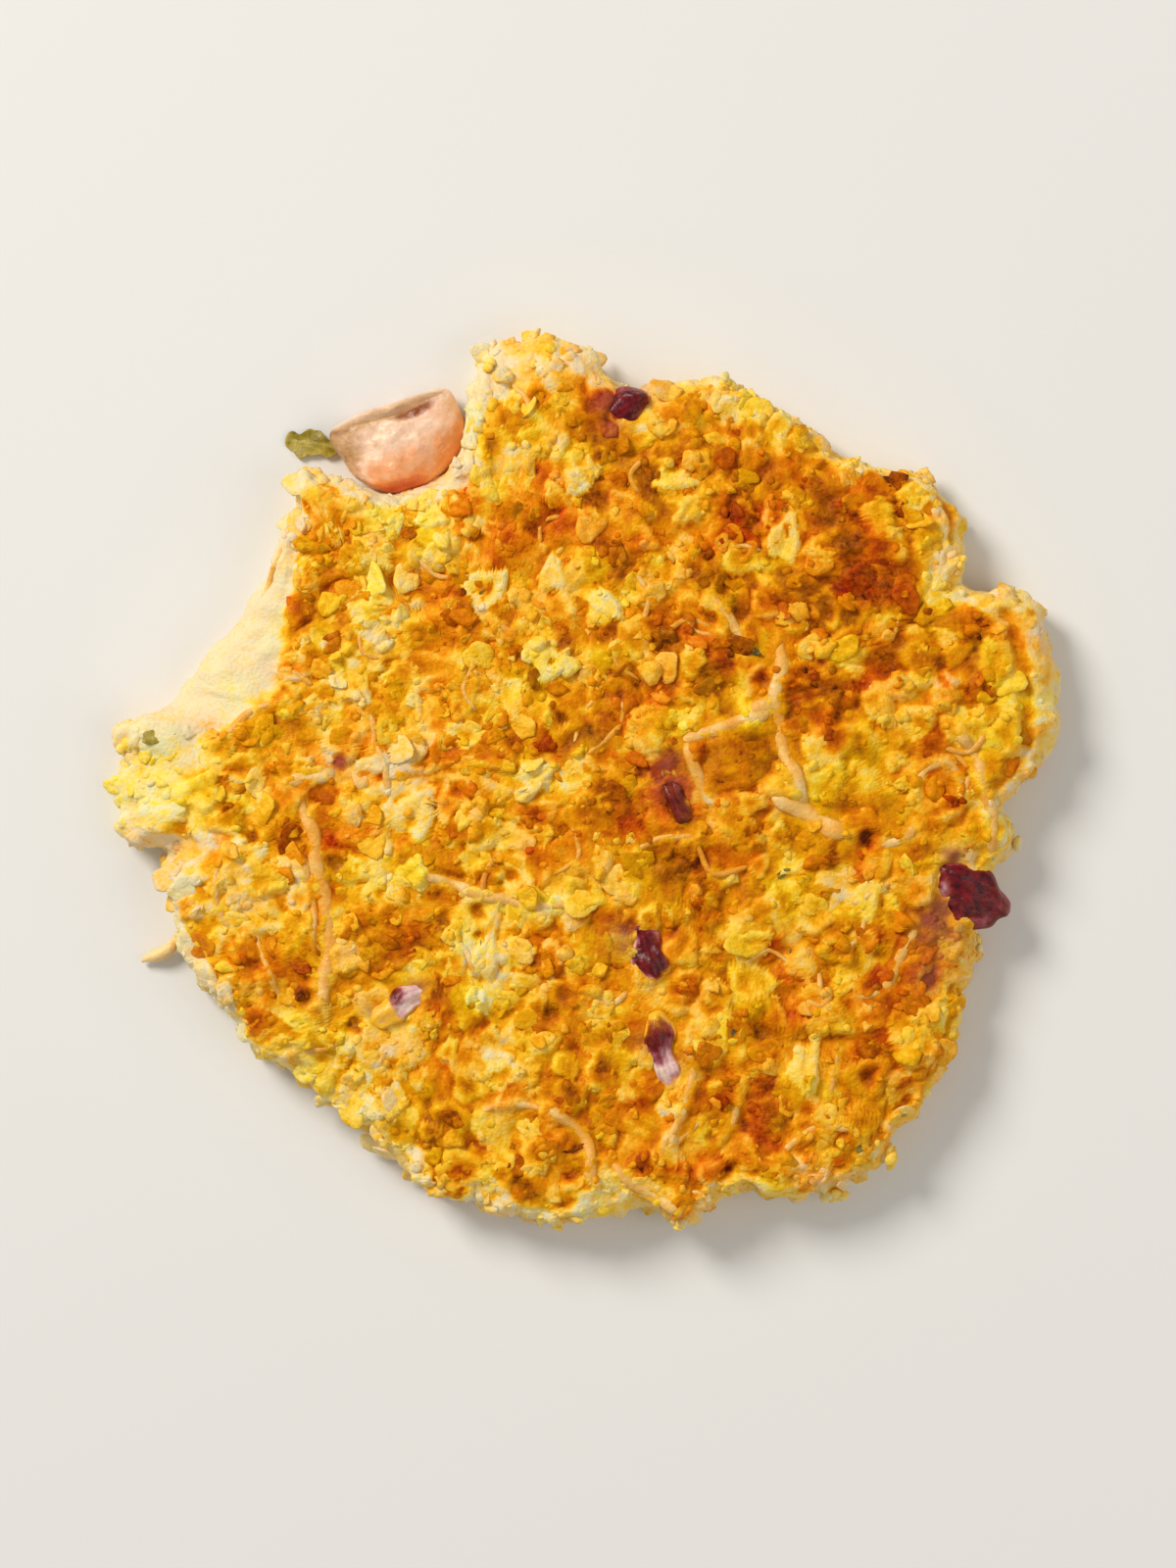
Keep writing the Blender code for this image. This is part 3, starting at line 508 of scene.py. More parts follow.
def new_material(name, roughness, scatter, depth):
    """A new material's node tree and shader. Light scatters in it by this share, to this depth in mm."""
    made = bpy.data.materials.new(name)
    made.use_nodes = True
    shader = made.node_tree.nodes["Principled BSDF"]
    shader.inputs["Roughness"].default_value = roughness
    shader.inputs["Subsurface Weight"].default_value = scatter
    shader.inputs["Subsurface Radius"].default_value = (1.0, 0.45, 0.2)
    shader.inputs["Subsurface Scale"].default_value = depth * MM
    return made.node_tree, shader


def pattern(tree, start, speckles):
    """Noise added to a number or to a named attribute: speckles holds (size in mm, amount) pairs."""
    value = start
    if isinstance(start, str):
        value = add_node(tree, "ShaderNodeAttribute", attribute_name=start).outputs["Fac"]
    coords = add_node(tree, "ShaderNodeTexCoord").outputs["Object"]
    for size, amount in speckles:
        inputs = {"Vector": coords, "Scale": 1 / (size * MM), "Detail": 3.0, "Roughness": 0.6}
        grain = add_node(tree, "ShaderNodeTexNoise", inputs).outputs["Fac"]
        centred = add_node(tree, "ShaderNodeMath", {0: grain, 1: 0.5}, operation="SUBTRACT").outputs[0]
        inputs = {0: centred, 1: amount, 2: value}
        value = add_node(tree, "ShaderNodeMath", inputs, operation="MULTIPLY_ADD").outputs[0]
    return value


def relief(tree, shader, size, height):
    """A bump with grains of this size and height in mm."""
    coords = add_node(tree, "ShaderNodeTexCoord").outputs["Object"]
    inputs = {"Vector": coords, "Scale": 1 / (size * MM), "Detail": 4.0}
    grain = add_node(tree, "ShaderNodeTexNoise", inputs).outputs["Fac"]
    inputs = {"Height": grain, "Distance": height * MM}
    tree.links.new(add_node(tree, "ShaderNodeBump", inputs).outputs["Normal"], shader.inputs["Normal"])


def fried_batter():
    """Oat batter fried in oil: cream where it was only steamed, gold to chestnut where it met the pan.

    Toast comes from the piece, and noise at 2 and 0.7 mm breaks it up as crumb does. Its hue leans to
    olive or to orange in patches, and onion juice stains it. Oil makes it half glossy, more in places.
    """
    tree, shader = new_material("fried_oat_batter", roughness=0.42, scatter=0.1, depth=1.5)
    look = colours()
    toast = pattern(tree, "toast", ((2.0, 0.45), (0.7, 0.42)))
    stops = (
        (0.0, look.cream),
        (0.18, look.straw),
        (0.30, look.honey),
        (0.44, look.gold),
        (0.58, look.amber),
        (0.74, look.caramel),
        (0.88, look.chestnut),
        (1.0, look.charred),
    )
    fried = add_node(tree, "ShaderNodeValToRGB", {"Fac": toast}, stops).outputs["Color"]
    lean = pattern(tree, "hue", ((3.0, 1.5),))
    inputs = {0: lean, 1: -0.014, 2: 0.5}
    shift = add_node(tree, "ShaderNodeMath", inputs, operation="MULTIPLY_ADD").outputs[0]
    leaning = add_node(tree, "ShaderNodeHueSaturation", {"Hue": shift, "Color": fried}).outputs["Color"]
    inputs = {0: pattern(tree, "juice", ()), 6: leaning, 7: hex_colour("#96463C")}
    stained = add_node(tree, "ShaderNodeMix", inputs, data_type="RGBA", clamp_factor=True).outputs[2]
    tree.links.new(stained, shader.inputs["Base Color"])
    tree.links.new(pattern(tree, 0.42, ((4.0, 0.8),)), shader.inputs["Roughness"])
    shader.inputs["Specular IOR Level"].default_value = 0.24
    shader.inputs["Specular Tint"].default_value = hex_colour("#FFCE86")
    relief(tree, shader, size=0.5, height=0.22)


def soft_shred():
    """Grated shreds cooked soft in batter: cream with fried edges, moist and a little translucent."""
    tree, shader = new_material("cooked_shred", roughness=0.46, scatter=0.2, depth=1.4)
    look = colours()
    toast = pattern(tree, "toast", ((2.2, 0.7), (0.8, 0.3)))
    stops = (
        (0.0, hex_colour("#F6D290")),
        (0.2, hex_colour("#F2BC60")),
        (0.4, hex_colour("#ECA434")),
        (0.6, look.gold),
        (0.8, look.amber),
    )
    fried = add_node(tree, "ShaderNodeValToRGB", {"Fac": toast}, stops).outputs["Color"]
    tree.links.new(fried, shader.inputs["Base Color"])
    relief(tree, shader, size=0.6, height=0.2)


def onion_layers():
    """Cooked red onion: dark wine skin, pale lilac flesh, and margins that the batter has coated."""
    tree, shader = new_material("cooked_red_onion", roughness=0.3, scatter=0.15, depth=1.0)
    look = colours()
    flesh = pattern(tree, "flesh", ((2.0, 0.7), (0.7, 0.4)))
    stops = (
        (0.0, hex_colour("#420010")),
        (0.24, look.onion_skin),
        (0.5, hex_colour("#9A5560")),
        (0.8, look.onion_flesh),
        (1.0, hex_colour("#F2DCC4")),
    )
    layered = add_node(tree, "ShaderNodeValToRGB", {"Fac": flesh}, stops).outputs["Color"]
    coat = pattern(tree, "coat", ((1.6, 0.8), (0.6, 0.5)))
    stops = ((0.0, look.chestnut), (0.5, look.caramel), (1.0, look.honey))
    batter = add_node(tree, "ShaderNodeValToRGB", {"Fac": coat}, stops).outputs["Color"]
    inputs = {0: coat, 6: layered, 7: batter}
    coated = add_node(tree, "ShaderNodeMix", inputs, data_type="RGBA", clamp_factor=True).outputs[2]
    tree.links.new(coated, shader.inputs["Base Color"])
    shader.inputs["Specular IOR Level"].default_value = 0.3
    relief(tree, shader, size=0.8, height=0.2)


def wet_tomato():
    """Cooked tomato: a tan cut, pale peach flesh that lets light in, an orange-red skin and a bruise."""
    tree, shader = new_material("cooked_tomato", roughness=0.38, scatter=0.3, depth=2.2)
    look = colours()
    skin = pattern(tree, "skin", ((3.0, 0.35), (1.0, 0.2)))
    stops = (
        (0.0, hex_colour("#9C6C38")),
        (0.14, hex_colour("#CDA272")),
        (0.30, look.tomato_flesh),
        (0.54, hex_colour("#F9A662")),
        (0.78, look.tomato_skin),
        (1.0, hex_colour("#A84E14")),
    )
    cooked = add_node(tree, "ShaderNodeValToRGB", {"Fac": skin}, stops).outputs["Color"]
    bruise = pattern(tree, "bruise", ((1.2, 0.5),))
    inputs = {0: bruise, 6: cooked, 7: hex_colour("#8C4200")}
    bruised = add_node(tree, "ShaderNodeMix", inputs, data_type="RGBA", clamp_factor=True).outputs[2]
    tree.links.new(bruised, shader.inputs["Base Color"])
    relief(tree, shader, size=1.2, height=0.3)


def wilted_herb():
    """Chopped herb wilted in the pan: olive green, browner in places, matt with fine wrinkles."""
    tree, shader = new_material("wilted_herb", roughness=0.45, scatter=0.1, depth=0.6)
    look = colours()
    age = pattern(tree, "toast", ((1.6, 1.6),))
    stops = ((0.0, hex_colour("#C4B050")), (0.45, look.herb), (1.0, hex_colour("#4A3808")))
    green = add_node(tree, "ShaderNodeValToRGB", {"Fac": age}, stops).outputs["Color"]
    tree.links.new(green, shader.inputs["Base Color"])
    relief(tree, shader, size=0.5, height=0.15)


def painted_board():
    """A plain painted board: matt and even, with a very faint mottle."""
    tree, shader = new_material("painted_board", roughness=0.6, scatter=0.0, depth=1.0)
    tone = pattern(tree, 0.0, ((60.0, 0.04),))
    stops = ((0.0, colours().floor), (1.0, hex_colour("#DCDAD6")))
    paint = add_node(tree, "ShaderNodeValToRGB", {"Fac": tone}, stops).outputs["Color"]
    tree.links.new(paint, shader.inputs["Base Color"])


# Making meshes.


def deselect():
    if bpy.context.object and bpy.context.object.mode != "OBJECT":
        bpy.ops.object.mode_set(mode="OBJECT")
    bpy.ops.object.select_all(action="DESELECT")


def take_added(name):
    obj = bpy.context.object
    obj.name = name
    obj.data.name = name
    return obj


def read_points(obj):
    flat = np.empty(len(obj.data.vertices) * 3)
    obj.data.vertices.foreach_get("co", flat)
    return flat.reshape(-1, 3)


def write_points(obj, points):
    obj.data.vertices.foreach_set("co", np.ascontiguousarray(points, dtype=np.float32).ravel())
    obj.data.update()


def write_values(obj, name, values):
    """Stores one value for each vertex as an attribute that the material reads."""
    layer = obj.data.attributes.new(name, "FLOAT", "POINT")
    layer.data.foreach_set("value", np.ascontiguousarray(values, dtype=np.float32))


def finish_piece(obj, look="fried_oat_batter", node="oat_pancake"):
    """Smooth shading, its material, and what the piece rides on and stands for."""
    obj.data.materials.clear()
    obj.data.materials.append(bpy.data.materials[look])
    obj.data.shade_smooth()
    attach(obj, BODY)
    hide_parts(node)


def join_parts(name, parts):
    """One object from parts, each (points, faces, values), for things too many to model one by one."""
    starts = np.cumsum([0] + [len(points) for points, _, _ in parts])
    points = np.concatenate([points for points, _, _ in parts])
    faces = np.concatenate([faces + start for (_, faces, _), start in zip(parts, starts)])
    points[:, 2] = np.clip(points[:, 2], LOWEST, TALLEST)
    mesh = bpy.data.meshes.new(name)
    mesh.from_pydata(points.tolist(), [], faces.tolist())
    obj = bpy.data.objects.new(name, mesh)
    bpy.context.scene.collection.objects.link(obj)
    for value_name in parts[0][2]:
        write_values(obj, value_name, np.concatenate([values[value_name] for _, _, values in parts]))
    return obj


# The batter.


def round_grid(index, cells):
    """Ring and angle in degrees for the points of a square grid, rolled out round."""
    i, j = index[:, 0] - cells / 2, index[:, 1] - cells / 2
    ring = np.maximum(abs(i), abs(j))
    wide = abs(i) >= abs(j)
    safe_i, safe_j = np.where(i == 0, 1, i), np.where(j == 0, 1, j)
    sideways = 45.0 * j / safe_i + np.where(i < 0, 180.0, 0.0)
    upright = 90.0 - 45.0 * i / safe_j + np.where(j < 0, 180.0, 0.0)
    return ring, np.where(wide, sideways, upright) % 360.0


def body_points(ring, angle):
    """The smooth skin of the batter, from the middle of the face to the rim of the underside.

    The notch bends only the outer third of the face, so that its sharp sides leave no line in it.
    """
    outer, band = outer_radius(angle), band_width(angle)
    face = np.clip(ring / FACE_RINGS, 0, 1)
    side = np.sin(np.clip((ring - FACE_RINGS) / SIDE_RINGS, 0, 1) * math.pi / 2)
    tuck = np.clip((ring - FACE_RINGS - SIDE_RINGS) / TUCK_RINGS, 0, 1) * math.pi / 2
    plain = plain_radius(angle) - band
    crust = plain + (outer - band - plain) * smooth(0.7, 1.0, face)
    radius = crust * face + band * side - TUCK * (1 - np.cos(tuck))
    x, y = radius * np.cos(np.radians(angle)), radius * np.sin(np.radians(angle))
    edge = face_height(x, y) - CRUST_STEP * smooth(0.95, 1.0, face)
    height = WIDEST_HEIGHT + (edge - WIDEST_HEIGHT) * np.sqrt(np.maximum(0, 1 - side**2.2))
    height = np.where(tuck > 0, WIDEST_HEIGHT * (1 - np.sin(tuck)), height)
    return np.stack((x, y, height), 1)


def grid_normals(points, cells):
    grid = points.reshape(cells + 1, cells + 1, 3)
    along_x, along_y = np.gradient(grid, axis=1), np.gradient(grid, axis=0)
    normal = np.cross(along_x, along_y).reshape(-1, 3)
    return normal / np.maximum(np.linalg.norm(normal, axis=1, keepdims=True), 1e-12)


def blurred(values, cells, times):
    """Values on the square grid, averaged with their neighbours this many times."""
    grid = values.reshape(cells + 1, cells + 1)
    for _ in range(times):
        padded = np.pad(grid, 1, mode="edge")
        grid = padded[1:-1, 1:-1] * 2 + padded[:-2, 1:-1] + padded[2:, 1:-1]
        grid = (grid + padded[1:-1, :-2] + padded[1:-1, 2:]) / 6
    return grid.ravel()


def mixed_noise(points, amounts, seed):
    """Noise of several sizes added up: amounts holds (size in mm, height) pairs."""
    return sum(height * rough(points, size * MM, seed + size) for size, height in amounts)


def tone_maps(points):
    """How browned each point is, with the painted shade and light that TONES holds, the least it may be,
    and how far it leans to olive (-) or orange (+).
    """
    toast = USUAL_TOAST + mixed_noise(points, ((10, 0.22), (4, 0.28), (2, 0.20)), 1)
    hue = mixed_noise(points, ((12, 0.9), (5, 1.1), (2.4, 0.8)), 20)
    least = np.full(len(points), LEAST_TOAST)
    for x, y, radius, browner, lean in TONES:
        share = np.exp(-((points[:, 0] / MM - x) ** 2 + (points[:, 1] / MM - y) ** 2) / radius**2)
        toast = toast + browner * share
        hue = hue + lean * share
        least = least + 1.4 * min(browner, 0) * share
    return toast, least, hue


def distances(points, x, y, unit=1):
    """How far each point lies from a spot seen from above, with the spot's x and y in this unit."""
    return np.hypot(points[:, 0] / unit - x, points[:, 1] / unit - y)


def juice_map(points):
    """How far onion juice has stained each point, from 0 to 1."""
    stain = np.zeros(len(points))
    for x, y, radius, strength in JUICE_STAINS:
        away = distances(points, x, y, MM) / radius
        stain = np.maximum(stain, strength * np.exp(-(away**2)))
    return np.clip(stain * (1 + 0.9 * rough(points, 1.6 * MM, 31)), 0, 0.85)


def press_flake(state, points, place, axes, size, height, flake):
    """Presses one flake into the relief: a plate with a crisp edge that keeps what is higher.

    flake holds how far it leans, how hollow it is, its tone, its rim's and its core's tone, and its hue.
    """
    near = np.flatnonzero(np.sum((points - place) ** 2, 1) < (max(size) * 0.75) ** 2)
    offset = points[near] - place
    along, across = offset @ axes[0] / (size[0] / 2), offset @ axes[1] / (size[1] / 2)
    turn = np.arctan2(across, along)
    wobble = 0.15 * np.sin(3 * turn + flake["tone"] * 40) + 0.08 * np.sin(5 * turn + flake["tone"] * 90)
    distance = np.hypot(along, across) * (1 + wobble)
    plate = height * (1 - smooth(0.82, FLAKE_EDGE, distance)) * (1 + flake["lean"] * along)
    plate = plate - height * flake["hollow"] * (1 - smooth(0.0, 0.75, distance))
    plate = plate - 0.3 * height * np.exp(-((across / 0.13) ** 2)) * (distance < 0.8)
    level = plate - 2 * MM * (distance > FLAKE_EDGE)
    higher = level > state["height"][near]
    chosen, distance = near[higher], distance[higher]
    rim = smooth(0.45, 0.9, distance)
    core = 1 - smooth(0.1, 0.6, distance)
    state["height"][chosen] = level[higher]
    state["tone"][chosen] = flake["tone"] + flake["rim"] * rim + flake["core"] * core
    state["hue"][chosen] = flake["hue"]
    state["marked"][chosen] = flake["marked"]


def lay_flakes(points, draw):
    """The relief over the whole skin: random flakes on the face and the side, then the marked ones."""
    state = {name: np.zeros(len(points)) for name in ("height", "tone", "hue", "marked")}
    usual, height = sizes().flake_length, sizes().flake_height
    golden = math.pi * (3.0 - math.sqrt(5.0))
    whole = sizes().flakes + sizes().side_flakes
    for number in range(whole):
        on_face = number < sizes().flakes
        if on_face:
            ring = FACE_RINGS * math.sqrt((number + 0.5) / sizes().flakes) + draw.uniform(-3, 3)
            angle = math.degrees(number * golden) % 360 + draw.uniform(-2, 2)
        else:
            ring, angle = FACE_RINGS + SIDE_RINGS * draw.uniform(0, 1), draw.uniform(0, 360)
        place = body_points(np.array([abs(ring)]), np.array([angle]))[0]
        spin = draw.uniform(0, math.pi)
        if on_face:
            flat, up = np.array((1.0, 0, 0)), np.array((0, 1.0, 0))
        else:
            out_x, out_y = polar(1, angle)
            flat, up = np.array((-out_y, out_x, 0)), np.array((0, 0, 1.0))
        axes = (flat * math.cos(spin) + up * math.sin(spin), up * math.cos(spin) - flat * math.sin(spin))
        length = usual * (draw.uniform(0.55, 1.25) if on_face else draw.uniform(0.5, 1.0))
        flake = {
            "lean": draw.uniform(-0.5, 0.5),
            "hollow": draw.choice((0.0, 0.0, 0.1, 0.3)),
            "tone": draw.uniform(-0.20, 0.18),
            "rim": draw.uniform(-0.22, 0.06),
            "core": draw.choice((0.0, 0.0, 0.06, 0.16)),
            "hue": draw.uniform(-0.7, 0.7),
            "marked": 0.0,
        }
        size = (length, length * draw.uniform(0.62, 0.9))
        press_flake(state, points, place, axes, size, height * draw.uniform(0.3, 1.0), flake)
    for x, y, length, width, heading, toast, hollow in MARKED_FLAKES:
        place = np.array((x * MM, y * MM, batter_height(x * MM, y * MM)))
        way_x, way_y = polar(1, heading)
        axes = (np.array((way_x, way_y, 0)), np.array((-way_y, way_x, 0)))
        flake = {"lean": 0.15, "hollow": hollow * 0.7, "tone": toast, "rim": -0.05, "core": 0.42 * hollow}
        flake |= {"hue": -0.5, "marked": 1.0}
        press_flake(state, points, place, axes, (length * MM, width * MM), height * 1.15, flake)
    return state


def onion_frame(piece):
    """Middle and turn of an onion piece, in the outline's own frame."""
    _, (x, y), heading, size, tilt, proud = piece
    top = batter_height(x * MM, y * MM) + proud * MM
    middle = Vector((x * MM, y * MM, top - size[2] * MM / 2))
    turn = Matrix.Rotation(math.radians(heading), 4, "Z") @ Matrix.Rotation(math.radians(tilt), 4, "Y")
    return Matrix.Translation(middle) @ turn


def sink_pockets(points):
    """Keeps the batter under the tops of the onion pieces, so that they show."""
    for piece in ONION_PIECES:
        size = np.array(piece[3]) * MM
        place = np.array(onion_frame(piece).inverted())
        local = points @ place[:3, :3].T + place[:3, 3]
        bend = size[0] / math.radians(ONION_BEND)
        along = local[:, 0] * 2 / size[0]
        across = (local[:, 1] + local[:, 0] ** 2 / (2 * bend)) * 2 / size[1]
        away = (abs(along) ** 3 + abs(across) ** 3) ** (1 / 3) + 0.3 * rough(local, 1.6 * MM, 9)
        inside = 1 - smooth(0.45, 0.8, away)
        deep = np.where(abs(local[:, 2]) < 3 * MM, inside, 0.0)
        points[:, 2] -= deep * np.maximum(0, local[:, 2] - size[2] / 2 + 1.0 * MM)
    return points


def pit_map(points, face_share, draw):
    """How deep in a pit each point is, from 0 to 1, and its toast there, partly browning and partly painted
    shade: marked pits, then random ones.
    """
    pits, burn_and_shade = np.zeros(len(points)), np.zeros(len(points))
    ragged = 1 + 0.7 * rough(points, 1.5 * MM, 77)
    for x, y, radius, toast in PITS:
        away = distances(points, x, y, MM) / radius * ragged
        share = (1 - smooth(0.3, 1.3, away)) * (points[:, 2] > FACE_FLOOR)
        pits, burn_and_shade = np.maximum(pits, share), np.maximum(burn_and_shade, share * toast)
    for _ in range(SMALL_PITS):
        angle = draw.uniform(0, 360)
        x, y = polar(float(crust_radius(angle)) * math.sqrt(draw.uniform(0, 0.96)), angle)
        away = distances(points, x, y) / (draw.uniform(0.4, 1.1) * MM) * ragged
        share = (1 - smooth(0.3, 1.3, away)) * draw.uniform(0.3, 0.8) * face_share
        pits, burn_and_shade = np.maximum(pits, share), np.maximum(burn_and_shade, share * 0.9)
    return pits, burn_and_shade


def marked_path(places, spacing, shift=(0, 0)):
    """A smooth path through places (x, y) in mm, with points about this far apart."""
    return smooth_path([Vector((x * MM + shift[0], y * MM + shift[1], 0)) for x, y in places], spacing)


def strand_places():
    """Points along the marked shreds: x, y and half width, in the outline's own frame."""
    places = []
    for width, _, _, points in SHREDS:
        places += [(place.x, place.y, width * MM / 2) for place in marked_path(points, 0.5 * MM)]
    return np.array(places)


def strand_map(points):
    """How close each point is to a marked shred, from 0 to 1: the batter rises and is paler there."""
    shares = np.zeros(len(points))
    for x, y, half_width in strand_places():
        shares = np.maximum(shares, 1 - smooth(0.5, 2.0, distances(points, x, y) / half_width))
    return shares * (points[:, 2] > FACE_FLOOR)


def crease_map(points):
    """How close each point is to a crease, from 0 to 1: the batter sinks there and is painted darker as
    shade.
    """
    shares = np.zeros(len(points))
    for width, places in CREASES:
        for place in marked_path(places, 0.4 * MM):
            away = distances(points, place.x, place.y) / (width * MM / 2)
            shares = np.maximum(shares, 1 - smooth(0.3, 1.6, away))
    return shares * (points[:, 2] > CREASE_FLOOR)


def share_maps(points, ring, angle, draw):
    """Shares from 0 to 1 at each point, by name: browned face, side, bare slope, pits, shreds and creases.

    The pits also bring their toast, under a name of its own: partly browning, partly painted shade.
    """
    smooth_band = bump(angle, *BARE_BAND)
    ragged = mixed_noise(points, ((7, 0.10), (2.5, 0.06)), 60)
    border = ring / FACE_RINGS + ragged * (1 - 0.8 * smooth_band) + 0.02 * smooth_band
    face = 1 - smooth(0.97, 1.03, border)
    pits, burn_and_shade = pit_map(points, face, draw)
    return {
        "face": face,
        "side": 1 - face,
        "bare": smooth_band * (1 - face),
        "pits": pits,
        "burn_and_shade": burn_and_shade,
        "strands": strand_map(points),
        "creases": crease_map(points),
    }


def raise_skin(points, angle, flakes, shares):
    """How far the skin stands out at each point: flakes, crumb and side lumps, less pits and creases."""
    crumb = mixed_noise(points, ((6, 0.70), (3, 0.32), (1.6, 0.22), (0.9, 0.12)), 40) * MM
    lift = flakes["height"] + crumb - RELIEF_SINK - PIT_DEPTH * shares["pits"]
    lift = lift + STRAND_LIFT * shares["strands"] - CREASE_DEPTH * shares["creases"]
    knobs = mixed_noise(points, ((4.2, 0.8), (2.0, 0.6)), 150) * MM
    lift = lift + knobs * shares["side"] * smooth(11 * MM, 8 * MM, points[:, 2])
    for centre, half_width, flatter in SOFT_LOBES:
        lift = lift * (1 - flatter * bump(angle, centre, half_width) * shares["side"])
    lumps = mixed_noise(points, ((5, 0.9), (2.6, 0.4)), 140) * MM
    return (lift + (lumps - lift) * 0.8 * shares["bare"]) * smooth(0, 2 * MM, points[:, 2])


def brown_face(toast, least, flakes, shares, cavity):
    """The face's toast: darker in hollows and paler on raised tips as painted shade and light, paler on
    shreds, and that of the marked flakes where they lie.
    """
    # Painted shade: hollows, where the cavity is below zero, get more toast, and raised tips get less.
    toast = 1.1 * (toast + flakes["tone"] - 0.30 * np.clip(cavity, -0.6, 0.5)) - 0.045
    toast = np.maximum(toast, least)
    toast = np.where(flakes["marked"] > 0, 0.15 * toast + 0.85 * flakes["tone"], toast)
    return toast + (0.3 - toast) * 0.5 * shares["strands"]


def brown_band(points, ring, angle, flakes, shares, cavity):
    """The toast of the pale band and the side, which is even at the outermost rim, with painted shade in
    its hollows and towards the right.
    """
    pale = 0.07 + 0.5 * flakes["tone"] + mixed_noise(points, ((3, 0.15), (1.4, 0.12)), 80)
    # Painted shade: hollows of the band and the side get more toast, and its lumps less.
    pale = pale - 0.12 * np.clip(cavity, -0.8, 0.5)
    rim = 0.7 * smooth(0.3, 0.8, (ring - FACE_RINGS) / SIDE_RINGS)
    pale = pale + (RIM_TOAST - pale) * rim
    # Partly painted shade: the band tones brown the right and lower right, away from the light.
    for centre, browner, half_width in BAND_TONES:
        pale = pale + browner * bump(angle, centre, half_width) * (1 - rim * (browner > 0))
    return np.maximum(pale, 0) * (1 - shares["bare"]) + BARE_TOAST * shares["bare"]


def fry_batter():
    """The batter: a round skin with flakes pressed into it, pits, crumb and a flat underside."""
    fried_batter()
    draw = random.Random(5)
    cells = 2 * RINGS
    deselect()
    bpy.ops.mesh.primitive_grid_add(x_subdivisions=cells, y_subdivisions=cells, size=2)
    batter = take_added("fried_batter")
    start = read_points(batter)
    ring, angle = round_grid(np.rint((start[:, :2] + 1) / 2 * cells), cells)
    points = body_points(ring, angle)
    normals = grid_normals(points, cells)
    flakes = lay_flakes(points, draw)
    shares = share_maps(points, ring, angle, draw)
    lift = raise_skin(points, angle, flakes, shares)
    # How far each point stands above its blurred surroundings, in mm: it paints shade into the hollows.
    cavity = (lift - blurred(lift, cells, 12)) / MM
    toast, least, hue = tone_maps(points)
    toast = brown_face(toast, least, flakes, shares, cavity)
    pale = brown_band(points, ring, angle, flakes, shares, cavity)
    toast = toast * shares["face"] + pale * shares["side"]
    # Pits are at least as dark as their toast, partly browning and partly painted shade.
    toast = np.maximum(np.minimum(toast, DARKEST_CRUST), shares["burn_and_shade"])
    # Painted shade: creases get more toast, most where they run down the side.
    toast = toast + (0.34 - 0.2 * shares["face"]) * shares["creases"]
    juice = juice_map(points)
    points = sink_pockets(points + normals * lift[:, None])
    points[:, 2] = np.clip(points[:, 2], 0, TALLEST)
    points[:, :2] += SHIFT
    write_points(batter, points)
    close_underside(batter)
    under = read_points(batter)[len(points) :]
    under_toast, _, under_hue = tone_maps(under * np.array((-1, 1, 1)))
    write_values(batter, "toast", np.concatenate((toast, under_toast)))
    write_values(batter, "hue", np.concatenate((hue + flakes["hue"], under_hue)))
    write_values(batter, "juice", np.concatenate((juice, np.zeros(len(under)))))
    finish_piece(batter)


def close_underside(batter):
    """Extrudes the open rim inwards in loops and merges it, then gives the underside a low relief."""
    before = len(batter.data.vertices)
    bpy.context.view_layer.objects.active = batter
    batter.select_set(True)
    bpy.ops.object.mode_set(mode="EDIT")
    bpy.ops.mesh.select_mode(type="EDGE")
    bpy.ops.mesh.select_all(action="DESELECT")
    bpy.ops.mesh.select_non_manifold(
        extend=False, use_wire=False, use_multi_face=False, use_non_contiguous=False, use_verts=False
    )
    reached = 1.0
    for share in UNDERSIDE_LOOPS:
        bpy.ops.mesh.extrude_edges_move()
        bpy.ops.transform.resize(value=(share / reached, share / reached, 1.0), center_override=(0, 0, 0))
        reached = share
    bpy.ops.mesh.merge(type="CENTER")
    bpy.ops.object.mode_set(mode="OBJECT")
    points = read_points(batter)
    under = points[before:]
    mottle = 0.35 * MM * rough(under, 4 * MM, 12) + 0.15 * MM * rough(under, 1.5 * MM, 13)
    under[:, 2] = np.maximum(0, mottle)
    points[before:] = under
    write_points(batter, points)
    deselect()


# Loose-looking bits that are stuck to the batter.


# What bits of batter take from the place where they lie.
SHARED_VALUES = ("toast", "hue", "juice")
# Where the rays that look for the skin start, in mm: this high, or this far from the middle.
ABOVE = 40
OUTSIDE = 90


class Skin:
    """Finds the batter's surface, and how browned it is there, from above or from the side."""

    def __init__(self, batter):
        self.corners = [tuple(face.vertices) for face in batter.data.polygons]
        self.tree = BVHTree.FromPolygons([tuple(point) for point in read_points(batter)], self.corners)
        self.values = {}
        for name in SHARED_VALUES:
            values = np.empty(len(batter.data.vertices), dtype=np.float32)
            batter.data.attributes[name].data.foreach_get("value", values)
            self.values[name] = values

    def from_above(self, x, y):
        return self.found(Vector((x, y, ABOVE * MM)), Vector((0, 0, -1)))

    def from_side(self, angle, height):
        out = Vector((*polar(1, angle), 0))
        return self.found(out * OUTSIDE * MM + Vector((*SHIFT, height)), -out)

    def found(self, start, way):
        """Place, normal, toast, hue and juice where a ray meets the top or the side, or else None."""
        place, normal, index, _ = self.tree.ray_cast(start, way)
        if place is None or normal.z < -0.2:
            return None
        corner = self.corners[index][0]
        return place, normal, *(float(self.values[name][corner]) for name in SHARED_VALUES)


